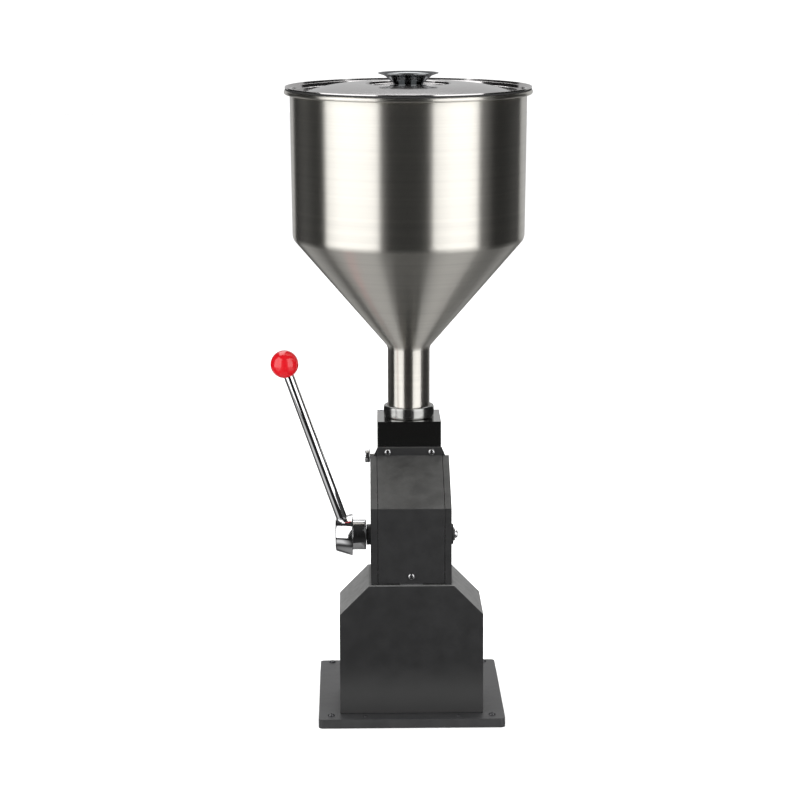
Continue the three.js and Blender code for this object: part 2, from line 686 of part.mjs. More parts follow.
// Bent rear cover between the flanges, with a tab that stands against the front wall
function rearCover() {
  const half = halfColumn - COLUMN_FLANGE - COVER_SIDE_GAP;
  const tabRear = wallRear - COVER_SHEET;
  const rise = slopeRise * COVER_SHEET / slopeRun + COVER_SHEET;
  const innerRear = COLUMN_REAR + COVER_SHEET;
  const sheet = acrossX([
    [COLUMN_REAR, boxTop + COVER_FOOT_GAP],
    [innerRear, boxTop + COVER_FOOT_GAP],
    [innerRear, slopeAt(innerRear) - rise],
    [wallRear, slopeAt(wallRear) - rise],
    [wallRear, columnTop],
    [tabRear, columnTop],
    [tabRear, columnCrest],
    [COLUMN_REAR, columnShoulder],
  ], -half, half);
  const hole = (low, high, x, z) => alongY(disc(COVER_SCREW.shank + SEAT_GAP, low, high, SMALL_SIDES), x, z);
  const [tabLow, tabHigh] = [tabRear - CUT_OVERRUN, wallRear + CUT_OVERRUN];
  const [panelLow, panelHigh] = [COLUMN_REAR - CUT_OVERRUN, innerRear + CUT_OVERRUN];
  add('rear_cover', cut(
    sheet,
    hole(tabLow, tabHigh, -topScrewX, topScrewZ),
    hole(tabLow, tabHigh, topScrewX, topScrewZ),
    hole(panelLow, panelHigh, 0, coverScrewZ),
  ), 'powder');
  const screw = (length) => crossScrew(COVER_SCREW, length).rotateX(Math.PI / 2);
  const topLength = COVER_SHEET + COLUMN_SHEET + SCREW_BITE;
  add('cover_screw_left', screw(topLength).translate(-topScrewX, tabRear, topScrewZ), 'chrome');
  add('cover_screw_right', screw(topLength).translate(topScrewX, tabRear, topScrewZ), 'chrome');
  add('cover_screw_foot', screw(SCREW_BITE).translate(0, COLUMN_REAR, coverScrewZ), 'chrome');
  const halfBracket = COVER_BRACKET_WIDTH / 2;
  const bracket = acrossX([
    [innerRear, boxTop],
    [innerRear + COVER_BRACKET_FOOT, boxTop],
    [innerRear + COVER_BRACKET_FOOT, boxTop + COLUMN_SHEET],
    [innerRear + COLUMN_SHEET, boxTop + COLUMN_SHEET],
    [innerRear + COLUMN_SHEET, boxTop + COVER_BRACKET_HEIGHT],
    [innerRear, boxTop + COVER_BRACKET_HEIGHT],
  ], -halfBracket, halfBracket);
  const tapped = hole(innerRear - CUT_OVERRUN, innerRear + COLUMN_SHEET + CUT_OVERRUN, 0, coverScrewZ);
  add('cover_bracket', cut(bracket, tapped), 'zinc');
}

const thumbZ = blockTop - THUMB_SCREW_DROP;
const seatRadius = PORT_RADIUS - SEAT_CLEARANCE;
const plugPlace = [-BLOCK_WIDTH / 2 + PLUG_SCREW_INSET, blockFront - PLUG_SCREW_INSET];

// Valve block with its inlet port, pump bore and outlet spigot
function valveBlock() {
  const halfWidth = BLOCK_WIDTH / 2;
  const body = join(
    box(-halfWidth, halfWidth, blockRear, blockFront, blockBottom, blockTop),
    disc(BLOCK_SPIGOT_RADIUS, blockTop - CUT_OVERRUN, spigotTop),
    disc(OUTLET_SPIGOT_RADIUS, spigotEnd, blockBottom + CUT_OVERRUN).translate(0, OUTLET_Y, 0),
  );
  const pump = disc(sleeveRadius + SEAT_GAP, blockRear - CUT_OVERRUN, sleeveFront + SEAT_GAP);
  const thumbHole = disc(THUMB_SHANK_RADIUS + SEAT_GAP, -halfWidth - CUT_OVERRUN, 0, SMALL_SIDES);
  const tapped = (radius, x, z) => alongY(
    disc(radius + SEAT_GAP, blockRear - CUT_OVERRUN, blockRear + SCREW_BITE + SEAT_GAP, SMALL_SIDES), x, z);
  const plugHole = screwHole(SET_SCREW_RADIUS, blockTop - SET_SCREW_LENGTH, blockTop + CUT_OVERRUN);
  add('valve_block', cut(
    body,
    disc(PORT_RADIUS, portFloor, spigotTop + CUT_OVERRUN),
    disc(CHAMBER_RADIUS, pumpZ, portFloor + CUT_OVERRUN),
    alongY(pump, 0, pumpZ),
    disc(OUTLET_RADIUS, spigotEnd - CUT_OVERRUN, pumpZ).translate(0, OUTLET_Y, 0),
    alongX(thumbHole, 0, thumbZ),
    ...sleeveScrewPlaces.map(([x, z]) => tapped(SLEEVE_SCREW.shank, x, z)),
    tapped(COVER_SCREW.shank, -topScrewX, topScrewZ),
    tapped(COVER_SCREW.shank, topScrewX, topScrewZ),
    plugHole.translate(...plugPlace, 0),
  ), 'polished');
  const socket = hexagon(SET_SCREW_RADIUS, blockTop - SET_SCREW_LENGTH / 2, blockTop + CUT_OVERRUN);
  const plug = disc(SET_SCREW_RADIUS, blockTop - SET_SCREW_LENGTH + SEAT_GAP, blockTop, SMALL_SIDES);
  add('plug_screw', cut(plug, socket).translate(...plugPlace, 0), 'zinc');
}

// Cylinder sleeve, held by its flange and four screws
function pumpSleeve() {
  const flangeRear = wallRear - SLEEVE_FLANGE_THICK;
  const sleeve = turned([
    [BORE_RADIUS, sleeveRear],
    [sleeveRadius, sleeveRear],
    [sleeveRadius, flangeRear],
    [SLEEVE_FLANGE_RADIUS, flangeRear],
    [SLEEVE_FLANGE_RADIUS, wallRear],
    [sleeveRadius, wallRear],
    [sleeveRadius, sleeveFront],
    [BORE_RADIUS, sleeveFront],
    [BORE_RADIUS, sleeveRear],
  ]);
  const windowFront = sleeveFront - INLET_WINDOW_FRONT_GAP;
  const inlet = box(
    -INLET_WINDOW_WIDTH / 2, INLET_WINDOW_WIDTH / 2,
    windowFront - INLET_WINDOW_LENGTH, windowFront,
    pumpZ, pumpZ + sleeveRadius + CUT_OVERRUN,
  );
  const outlet = disc(OUTLET_RADIUS, pumpZ - sleeveRadius - CUT_OVERRUN, pumpZ).translate(0, OUTLET_Y, 0);
  const holes = sleeveScrewPlaces.map(([x, z]) => alongY(
    screwHole(SLEEVE_SCREW.shank, flangeRear - CUT_OVERRUN, wallRear + CUT_OVERRUN), x, z));
  add('pump_sleeve', cut(alongY(sleeve, 0, pumpZ), inlet, outlet, ...holes), 'steel');
  sleeveScrewPlaces.forEach(([x, z], index) => {
    const screw = panScrew(SLEEVE_SCREW, SLEEVE_FLANGE_THICK + COLUMN_SHEET + SCREW_BITE);
    add(`sleeve_screw_${index + 1}`, screw.rotateX(Math.PI / 2).translate(x, flangeRear, z), 'zinc');
  });
}

// Piston with two seal rings, held on the rack by a nut
function piston() {
  const radius = BORE_RADIUS - PISTON_CLEARANCE;
  const grooveRadius = radius - SEAL_GROOVE_DEPTH;
  const land = (PISTON_LENGTH - SEAL_COUNT * SEAL_GROOVE_WIDTH) / (SEAL_COUNT + 1);
  const boreRadius = RACK_SPIGOT_RADIUS + SEAT_GAP;
  const recessFloor = pistonFront - PISTON_RECESS_DEPTH;
  const profile = [[boreRadius, pistonRear], [radius, pistonRear]];
  for (let i = 0; i < SEAL_COUNT; i += 1) {
    const start = pistonRear + land + i * (land + SEAL_GROOVE_WIDTH);
    const end = start + SEAL_GROOVE_WIDTH;
    profile.push([radius, start], [grooveRadius, start], [grooveRadius, end], [radius, end]);
    const seal = ring(
      grooveRadius + SEAT_GAP, BORE_RADIUS - SEAL_CLEARANCE, start + SEAT_GAP, end - SEAT_GAP,
    );
    add(`piston_seal_${i + 1}`, alongY(seal, 0, pumpZ), 'rubber');
  }
  profile.push(
    [radius, pistonFront],
    [PISTON_RECESS_RADIUS, pistonFront],
    [PISTON_RECESS_RADIUS, recessFloor],
    [boreRadius, recessFloor],
    [boreRadius, pistonRear],
  );
  add('piston', alongY(turned(profile), 0, pumpZ), 'steel');
  const nut = hexagon(PISTON_NUT_FLATS, recessFloor, recessFloor + PISTON_NUT_THICK);
  const nutBore = disc(boreRadius, recessFloor - CUT_OVERRUN, pistonFront, SMALL_SIDES);
  add('piston_nut', alongY(cut(nut, nutBore), 0, pumpZ), 'zinc');
}

const addendum = GEAR_MODULE;
const dedendum = GEAR_MODULE * DEDENDUM_RATIO;
const toothPitch = Math.PI * GEAR_MODULE;

// Rack with its teeth on the underside and a round spigot for the piston
function rack() {
  const slant = Math.tan(PRESSURE_ANGLE);
  const halfTooth = toothPitch / 4 - TOOTH_BACKLASH / 2;
  const tip = pitchZ - addendum;
  const bar = [[pistonRear, rackBottom], [pistonRear, rackTop], [rackRear, rackTop], [rackRear, rackBottom]];
  const firstGap = SHAFT_Y - Math.floor((SHAFT_Y - rackRear) / toothPitch) * toothPitch;
  for (let i = 0; i < RACK_TOOTH_COUNT; i += 1) {
    const centre = firstGap + (i + 0.5) * toothPitch;
    const [root, crest] = [halfTooth + dedendum * slant, halfTooth - addendum * slant];
    bar.push([centre - root, rackBottom], [centre - crest, tip]);
    bar.push([centre + crest, tip], [centre + root, rackBottom]);
  }
  const spigotTip = pistonRear + RACK_SPIGOT_LENGTH;
  const spigot = disc(RACK_SPIGOT_RADIUS, pistonRear - CUT_OVERRUN, spigotTip, SMALL_SIDES);
  const toothed = acrossX(bar, -RACK_WIDTH / 2, RACK_WIDTH / 2);
  add('rack_rod', join(toothed, alongY(spigot, 0, pumpZ)), 'steel');
}

// Involute pinion, with one tooth straight up in a gap of the rack
function pinion() {
  const base = pitchRadius * Math.cos(PRESSURE_ANGLE);
  const outer = pitchRadius + addendum;
  const root = pitchRadius - dedendum;
  const involute = (radius) => {
    const angle = Math.acos(Math.min(base / radius, 1));
    return Math.tan(angle) - angle;
  };
  const halfAtPitch = (toothPitch / 2 - TOOTH_BACKLASH) / 2 / pitchRadius;
  const steps = 2;
  const points = [];
  const place = (radius, angle) => points.push([Math.cos(angle) * radius, Math.sin(angle) * radius]);
  for (let tooth = 0; tooth < PINION_TEETH; tooth += 1) {
    const centre = Math.PI / 2 + tooth * Math.PI * 2 / PINION_TEETH;
    const half = (radius) => halfAtPitch + involute(pitchRadius) - involute(radius);
    place(root, centre - half(base));
    for (let i = 0; i <= steps; i += 1) {
      const radius = base + (outer - base) * i / steps;
      place(radius, centre - half(radius));
    }
    for (let i = steps; i >= 0; i -= 1) {
      const radius = base + (outer - base) * i / steps;
      place(radius, centre + half(radius));
    }
    place(root, centre + half(base));
  }
  const toothed = acrossX(points, -PINION_WIDTH / 2, PINION_WIDTH / 2);
  const bore = disc(SHAFT_RADIUS + SEAT_GAP, -PINION_WIDTH, PINION_WIDTH);
  const keyway = box(
    -PINION_WIDTH, PINION_WIDTH,
    -KEY_WIDTH / 2 - SEAT_GAP, KEY_WIDTH / 2 + SEAT_GAP,
    0, SHAFT_RADIUS - KEY_SHAFT_DEPTH + KEY_HEIGHT + SEAT_GAP,
  );
  add('pinion', cut(toothed, alongX(bore, 0, 0), keyway).translate(0, SHAFT_Y, shaftZ), 'steel');
  const key = box(
    -KEY_LENGTH / 2, KEY_LENGTH / 2,
    -KEY_WIDTH / 2, KEY_WIDTH / 2,
    SHAFT_RADIUS - KEY_SHAFT_DEPTH, SHAFT_RADIUS - KEY_SHAFT_DEPTH + KEY_HEIGHT,
  );
  add('pinion_key', key.translate(0, SHAFT_Y, shaftZ), 'zinc');
}

// Crossbar between the side walls that keeps the rack in mesh
function rackGuide() {
  const inside = halfColumn - COLUMN_SHEET;
  const [low, high] = [SHAFT_Y - GUIDE_LENGTH / 2, SHAFT_Y + GUIDE_LENGTH / 2];
  const barLow = rackTop + SEAT_GAP;
  const cheekIn = RACK_WIDTH / 2 + SEAT_GAP;
  const cheek = (sign) => {
    const [a, b] = [sign * cheekIn, sign * (cheekIn + GUIDE_CHEEK_WIDTH)];
    return box(Math.min(a, b), Math.max(a, b), low, high, barLow - GUIDE_CHEEK_DROP, barLow + SEAT_GAP);
  };
  const bar = box(-inside, inside, low, high, barLow, barLow + GUIDE_TOP_THICK);
  add('rack_guide', join(bar, cheek(-1), cheek(1)), 'zinc');
}

const leftBushFace = -halfColumn - BUSH_FLANGE_LEFT;
const rightBushFace = halfColumn + BUSH_FLANGE_RIGHT;
const hubBarrelIn = leftBushFace - HUB_BUSH_GAP;
const hubConeIn = hubBarrelIn - HUB_BARREL_LENGTH;
const hubConeOut = hubConeIn - HUB_CONE_LENGTH;
const shaftLeft = hubConeOut + HUB_END_CAP + SEAT_GAP;
const shaftRight = rightBushFace + SEAT_GAP;

// Shaft in two flanged bushes
function leverShaft() {
  const body = alongX(disc(SHAFT_RADIUS, shaftLeft, shaftRight), 0, 0);
  const keyway = box(
    -KEY_LENGTH / 2 - SEAT_GAP, KEY_LENGTH / 2 + SEAT_GAP,
    -KEY_WIDTH / 2 - SEAT_GAP, KEY_WIDTH / 2 + SEAT_GAP,
    SHAFT_RADIUS - KEY_SHAFT_DEPTH - SEAT_GAP, SHAFT_RADIUS + CUT_OVERRUN,
  );
  const tapLength = END_SCREW_LENGTH + SEAT_GAP;
  const tap = screwHole(END_SCREW_RADIUS, shaftRight - tapLength, shaftRight + CUT_OVERRUN);
  const shaft = cut(body, keyway, alongX(tap, 0, 0));
  add('lever_shaft', shaft.translate(0, SHAFT_Y, shaftZ), 'steel');
  const barrel = SHAFT_RADIUS + BUSH_WALL;
  const bore = SHAFT_RADIUS + RUN_GAP;
  const inner = halfColumn - COLUMN_SHEET - BUSH_INNER_REACH;
  const bush = (face) => turned([
    [bore, inner],
    [barrel, inner],
    [barrel, halfColumn],
    [BUSH_FLANGE_RADIUS, halfColumn],
    [BUSH_FLANGE_RADIUS, face],
    [bore, face],
    [bore, inner],
  ]);
  const right = bush(rightBushFace);
  const left = bush(-leftBushFace).rotateX(Math.PI);
  add('shaft_bush_left', alongX(left, SHAFT_Y, shaftZ), 'black');
  add('shaft_bush_right', alongX(right, SHAFT_Y, shaftZ), 'black');
  const washerFace = shaftRight + END_WASHER_THICK;
  const washer = ring(END_SCREW_RADIUS + SEAT_GAP, END_WASHER_RADIUS, shaftRight, washerFace, SMALL_SIDES);
  add('end_washer', alongX(washer, SHAFT_Y, shaftZ), 'zinc');
  const endScrew = {
    shank: END_SCREW_RADIUS,
    head: END_SCREW_HEAD_RADIUS,
    height: END_SCREW_HEAD_HEIGHT,
    recess: END_SCREW_HEAD_RADIUS / 2,
    depth: END_SCREW_HEAD_HEIGHT / 2,
  };
  const screw = crossScrew(endScrew, END_SCREW_LENGTH + END_WASHER_THICK - SEAT_GAP);
  add('end_screw', alongX(screw.translate(0, 0, washerFace), SHAFT_Y, shaftZ), 'zinc');
}

// Places a form that stands on the Z axis along the leaning lever, from the shaft outwards
function alongLever(geometry) {
  return geometry.rotateY(-ROD_LEAN).translate(ROD_ROOT_X, SHAFT_Y, shaftZ);
}

// Conical hub, tapered rod and ball
function lever() {
  const hub = turned([
    [0, hubConeOut],
    [HUB_CONE_OUTER_RADIUS, hubConeOut],
    [HUB_CONE_INNER_RADIUS, hubConeIn],
    [HUB_BARREL_RADIUS, hubConeIn],
    [HUB_BARREL_RADIUS, hubBarrelIn],
    [0, hubBarrelIn],
  ]);
  const bore = disc(SHAFT_RADIUS + SEAT_GAP, shaftLeft - SEAT_GAP, hubBarrelIn + CUT_OVERRUN);
  const socket = disc(ROD_TENON_RADIUS + SEAT_GAP, ROD_SOCKET_START - SEAT_GAP, BALL_CENTRE_REACH);
  const screwX = (hubBarrelIn + hubConeIn) / 2;
  const screwEnd = HUB_BARREL_RADIUS;
  const grubHole = screwHole(SET_SCREW_RADIUS, 0, screwEnd + CUT_OVERRUN);
  const shoulder = disc(ROD_FOOT_RADIUS + SEAT_GAP, ROD_SHOULDER_START - SEAT_GAP, BALL_CENTRE_REACH);
  add('lever_hub', cut(
    alongX(hub, SHAFT_Y, shaftZ),
    alongX(bore, SHAFT_Y, shaftZ),
    alongLever(socket),
    alongLever(shoulder),
    alongY(grubHole, screwX, shaftZ).translate(0, SHAFT_Y, 0),
  ), 'chrome');
  const setScrew = disc(SET_SCREW_RADIUS, screwEnd - SET_SCREW_LENGTH, screwEnd, SMALL_SIDES);
  const setSocket = hexagon(SET_SCREW_RADIUS, screwEnd - SET_SCREW_LENGTH / 2, screwEnd + CUT_OVERRUN);
  const grub = alongY(cut(setScrew, setSocket), screwX, shaftZ).translate(0, SHAFT_Y, 0);
  add('hub_set_screw', grub, 'zinc');
  const ballFoot = BALL_CENTRE_REACH - BALL_RADIUS + BALL_FLAT_DEPTH;
  const rod = turned([
    [0, ROD_SOCKET_START],
    [ROD_TENON_RADIUS, ROD_SOCKET_START],
    [ROD_TENON_RADIUS, ROD_SHOULDER_START],
    [ROD_FOOT_RADIUS, ROD_SHOULDER_START],
    [ROD_HEAD_RADIUS, ballFoot - SEAT_GAP],
    [BALL_BORE_RADIUS - SEAT_GAP, ballFoot - SEAT_GAP],
    [BALL_BORE_RADIUS - SEAT_GAP, ballFoot + BALL_BORE_DEPTH - SEAT_GAP],
    [0, ballFoot + BALL_BORE_DEPTH - SEAT_GAP],
  ], SMALL_SIDES);
  add('lever_rod', alongLever(rod), 'chrome');
  const ball = new THREE.SphereGeometry(BALL_RADIUS, 24, 16);
  const flat = disc(BALL_RADIUS, -BALL_RADIUS - CUT_OVERRUN, -BALL_RADIUS + BALL_FLAT_DEPTH);
  const boreEnd = BALL_FLAT_DEPTH + BALL_BORE_DEPTH - BALL_RADIUS;
  const ballBore = disc(BALL_BORE_RADIUS, -BALL_RADIUS, boreEnd, SMALL_SIDES);
  const knob = cut(ball.rotateX(Math.PI / 2), flat, ballBore).translate(0, 0, BALL_CENTRE_REACH);
  add('ball_knob', alongLever(knob), 'red');
}

// Arm on the shaft and the screw that it comes to rest against
function doseStop() {
  const armRight = STOP_ARM_X + STOP_ARM_THICK;
  const armRing = disc(STOP_ARM_RING_RADIUS, STOP_ARM_X, armRight);
  const halfArm = STOP_ARM_WIDTH / 2;
  const arm = box(STOP_ARM_X, armRight, -halfArm, halfArm, -STOP_ARM_LENGTH, 0);
  const bore = disc(SHAFT_RADIUS + SEAT_GAP, STOP_ARM_X - CUT_OVERRUN, armRight + CUT_OVERRUN);
  const shape = cut(join(alongX(armRing, 0, 0), arm), alongX(bore, 0, 0));
  add('stop_arm', shape.translate(0, SHAFT_Y, shaftZ), 'zinc');
  const tip = SHAFT_Y + halfArm + SEAT_GAP;
  const bushBore = DOSE_SCREW_RADIUS + RUN_GAP;
  const bushRear = wallRear - DOSE_BUSH_LENGTH;
  const flangeFront = wallFront + DOSE_BUSH_FLANGE_THICK;
  const bush = turned([
    [bushBore, bushRear],
    [DOSE_BUSH_RADIUS, bushRear],
    [DOSE_BUSH_RADIUS, wallFront],
    [DOSE_BUSH_FLANGE_RADIUS, wallFront],
    [DOSE_BUSH_FLANGE_RADIUS, flangeFront],
    [bushBore, flangeFront],
    [bushBore, bushRear],
  ], SMALL_SIDES);
  add('dose_bush', alongY(bush, doseX, doseZ), 'zinc');
  const lockRear = flangeFront + SEAT_GAP;
  const lockFront = lockRear + DOSE_NUT_THICK;
  const lock = hexagon(DOSE_NUT_FLATS, lockRear, lockFront);
  const lockBore = disc(bushBore, lockRear - CUT_OVERRUN, lockFront + CUT_OVERRUN, SMALL_SIDES);
  add('dose_lock_nut', alongY(cut(lock, lockBore), doseX, doseZ), 'zinc');
  const knobRear = lockFront + DOSE_KNOB_GAP;
  const knobFront = knobRear + DOSE_KNOB_LENGTH;
  const screwEnd = knobFront - DOSE_KNOB_LENGTH / 4;
  const screw = disc(DOSE_SCREW_RADIUS, tip, screwEnd - SEAT_GAP, SMALL_SIDES);
  add('dose_screw', alongY(screw, doseX, doseZ), 'zinc');
  const chamfer = DOSE_KNOB_FLUTE_RADIUS;
  const knob = turned([
    [0, knobRear],
    [DOSE_KNOB_RADIUS - chamfer, knobRear],
    [DOSE_KNOB_RADIUS, knobRear + chamfer],
    [DOSE_KNOB_RADIUS, knobFront - chamfer],
    [DOSE_KNOB_RADIUS - chamfer, knobFront],
    [0, knobFront],
  ]);
  const knobBore = disc(DOSE_SCREW_RADIUS + SEAT_GAP, knobRear - CUT_OVERRUN, screwEnd, SMALL_SIDES);
  const flutes = [];
  for (let i = 0; i < DOSE_KNOB_FLUTES; i += 1) {
    const angle = i * Math.PI * 2 / DOSE_KNOB_FLUTES;
    const flute = disc(DOSE_KNOB_FLUTE_RADIUS, knobRear - CUT_OVERRUN, knobFront + CUT_OVERRUN, 10);
    const reach = DOSE_KNOB_RADIUS + DOSE_KNOB_FLUTE_RADIUS / 4;
    flutes.push(flute.translate(Math.cos(angle) * reach, Math.sin(angle) * reach, 0));
  }
  add('dose_knob', alongY(cut(knob, knobBore, ...flutes), doseX, doseZ), 'black');
}

const gasketTop = spigotTop + GASKET_THICK;
const ferruleTop = gasketTop + FERRULE_THICK;

// Sheet hopper with a rolled rim, a cone, a neck and a ferrule
function hopper() {
  const neckIn = NECK_RADIUS - NECK_WALL;
  const rimLow = hopperTop - RIM_ROLL_HEIGHT;
  const knuckle = HOPPER_KNUCKLE_RADIUS;
  const seatOut = HOPPER_TOP_RADIUS - HOPPER_SHEET + RIM_SEAT_WIDTH;
  const coneSlant = (hopperBottomRadius - NECK_RADIUS) / (coneTop - neckTop);
  const onCone = (height) => NECK_RADIUS + (height - neckTop) * coneSlant;
  add('hopper', turned([
    [neckIn, gasketTop],
    [FERRULE_RADIUS, gasketTop],
    [FERRULE_RADIUS, ferruleTop],
    [NECK_RADIUS, ferruleTop],
    [NECK_RADIUS, neckTop],
    [onCone(coneTop - knuckle), coneTop - knuckle],
    [hopperBottomRadius - knuckle / 5, coneTop - knuckle / 4],
    [hopperBottomRadius, coneTop + knuckle / 2],
    [HOPPER_TOP_RADIUS, rimLow],
    [hopperRimRadius - RIM_ROLL_WIDTH / 2, rimLow],
    [hopperRimRadius - RIM_ROLL_WIDTH / 8, rimLow + RIM_ROLL_HEIGHT / 5],
    [hopperRimRadius, rimLow + RIM_ROLL_HEIGHT / 2],
    [hopperRimRadius - RIM_ROLL_WIDTH / 8, hopperTop - RIM_ROLL_HEIGHT / 5],
    [seatOut, hopperTop],
    [HOPPER_TOP_RADIUS - HOPPER_SHEET, hopperTop],
    [hopperBottomRadius - HOPPER_SHEET, coneTop + knuckle / 2],
    [hopperBottomRadius - HOPPER_SHEET * 1.2 - knuckle / 5, coneTop - knuckle / 4],
    [onCone(coneTop - knuckle) - HOPPER_SHEET * 1.5, coneTop - knuckle],
    [neckIn, neckTop + HOPPER_SHEET / 4],
    [neckIn, gasketTop],
  ], FINE_SIDES), 'steel');
  const gasketOut = FERRULE_RADIUS - SEAT_GAP;
  add('hopper_gasket', ring(PORT_RADIUS + GASKET_THICK, gasketOut, spigotTop, gasketTop), 'rubber');
}

// Round union nut with notches for a hook spanner
function unionNut() {
  const low = blockTop;
  const high = low + NUT_HEIGHT;
  const threadRadius = BLOCK_SPIGOT_RADIUS + SEAT_GAP;
  const lipRadius = NECK_RADIUS + SEAT_GAP;
  const lipLow = ferruleTop + SEAT_GAP;
  const nut = turned([
    [threadRadius, low],
    [NUT_RADIUS, low],
    [NUT_RADIUS, high - NUT_ROUNDING],
    [NUT_RADIUS - NUT_ROUNDING * 0.3, high - NUT_ROUNDING * 0.3],
    [NUT_RADIUS - NUT_ROUNDING, high],
    [lipRadius, high],
    [lipRadius, lipLow],
    [threadRadius, lipLow],
    [threadRadius, low],
  ]);
  const notches = [];
  for (let i = 0; i < NUT_NOTCH_COUNT; i += 1) {
    const notch = box(
      -NUT_NOTCH_WIDTH / 2, NUT_NOTCH_WIDTH / 2,
      -NUT_RADIUS - CUT_OVERRUN, -NUT_RADIUS + NUT_NOTCH_DEPTH,
      high - NUT_NOTCH_DROP - NUT_NOTCH_HEIGHT, high - NUT_NOTCH_DROP,
    );
    notches.push(notch.rotateZ(i * Math.PI * 2 / NUT_NOTCH_COUNT));
  }
  add('union_nut', cut(nut, ...notches), 'polished');
}

const lidEdgeLow = hopperTop + LID_EDGE_GAP;
const lidEdgeTop = lidEdgeLow + LID_EDGE_HEIGHT;
const lidGutter = lidEdgeTop - LID_GUTTER_DEPTH;
const lidCrest = lidGutter + LID_DOME_RISE;
const lidRecess = lidCrest - LID_RECESS_DEPTH;

// Lid with a turned edge, a gutter inside the rim, a dome and a recess for the knob
function lid() {
  const sheet = LID_SHEET;
  const wallOut = lidRadius - LID_FLANGE_INSET;
  const wallIn = wallOut - sheet;
  const domeFoot = wallIn - LID_GUTTER_WIDTH;
  const dome = LID_DOME_SHARES.map(([across, up]) => [
    domeFoot - (domeFoot - LID_CREST_RADIUS) * across,
    lidGutter + LID_DOME_RISE * up,
  ]);
  const lowered = [...dome].reverse().map(([radius, height]) => [radius, height - sheet]);
  add('lid', turned([
    [lidRadius - sheet / 2, lidEdgeTop],
    [lidRadius, lidEdgeTop - sheet / 2],
    [lidRadius, lidEdgeLow],
    [lidRadius - sheet, lidEdgeLow],
    [lidRadius - sheet, lidEdgeTop - sheet],
    [wallOut, lidEdgeTop - sheet],
    [wallOut - LID_GUTTER_WALL_RUN, lidGutter - sheet],
    ...dome.map(([radius, height]) => [radius, height - sheet]),
    [LID_RECESS_RADIUS, lidRecess - sheet],
    [LID_SCREW_HOLE_RADIUS, lidRecess - sheet],
    [LID_SCREW_HOLE_RADIUS, lidRecess],
    [LID_RECESS_RADIUS, lidRecess],
    ...lowered.map(([radius, height]) => [radius, height + sheet]),
    [wallIn - LID_GUTTER_WALL_RUN, lidGutter],
    [wallIn, lidEdgeTop - sheet / 2],
    [wallIn + sheet / 2, lidEdgeTop],
    [lidRadius - sheet / 2, lidEdgeTop],
  ], FINE_SIDES), 'steel');
  const gasketOut = lidRadius - LID_GASKET_INSET;
  const gasketIn = gasketOut - LID_GASKET_WIDTH;
  add('lid_gasket', ring(gasketIn, gasketOut, hopperTop, lidEdgeTop - sheet, FINE_SIDES), 'rubber');
  const top = lidRecess + KNOB_HEIGHT;
  const lip = top - KNOB_LIP_HEIGHT;
  add('lid_knob', turned([
    [0, lidRecess + KNOB_TAP_DEPTH],
    [KNOB_TAP_RADIUS, lidRecess + KNOB_TAP_DEPTH],
    [KNOB_TAP_RADIUS, lidRecess],
    [KNOB_BASE_RADIUS, lidRecess],
    [KNOB_BASE_RADIUS, lidRecess + KNOB_BASE_THICK],
    [KNOB_WAIST_RADIUS, lidRecess + KNOB_BASE_THICK],
    [KNOB_BOWL_RADIUS, lip],
    [KNOB_RIM_RADIUS, top - KNOB_RIM_THICK],
    [KNOB_RIM_RADIUS, top],
    [KNOB_RIM_RADIUS - KNOB_RIM_THICK, top],
    [KNOB_BOWL_RADIUS - KNOB_RIM_THICK / 2, lip + KNOB_RIM_THICK / 2],
    [KNOB_DISH_RADIUS, top - KNOB_DISH_DEPTH],
    [0, top - KNOB_DISH_DEPTH],
  ]), 'chrome');
  const screwFace = lidRecess - sheet;
  const screw = turned([
    [0, screwFace - KNOB_SCREW_HEAD_HEIGHT],
    [KNOB_SCREW_HEAD_RADIUS * 0.7, screwFace - KNOB_SCREW_HEAD_HEIGHT],
    [KNOB_SCREW_HEAD_RADIUS, screwFace - KNOB_SCREW_HEAD_HEIGHT / 2],
    [KNOB_SCREW_HEAD_RADIUS, screwFace],
    [KNOB_SCREW_RADIUS, screwFace],
    [KNOB_SCREW_RADIUS, lidRecess + KNOB_SCREW_GRIP],
    [0, lidRecess + KNOB_SCREW_GRIP],
  ], SMALL_SIDES);
  add('lid_knob_screw', screw, 'zinc');
}

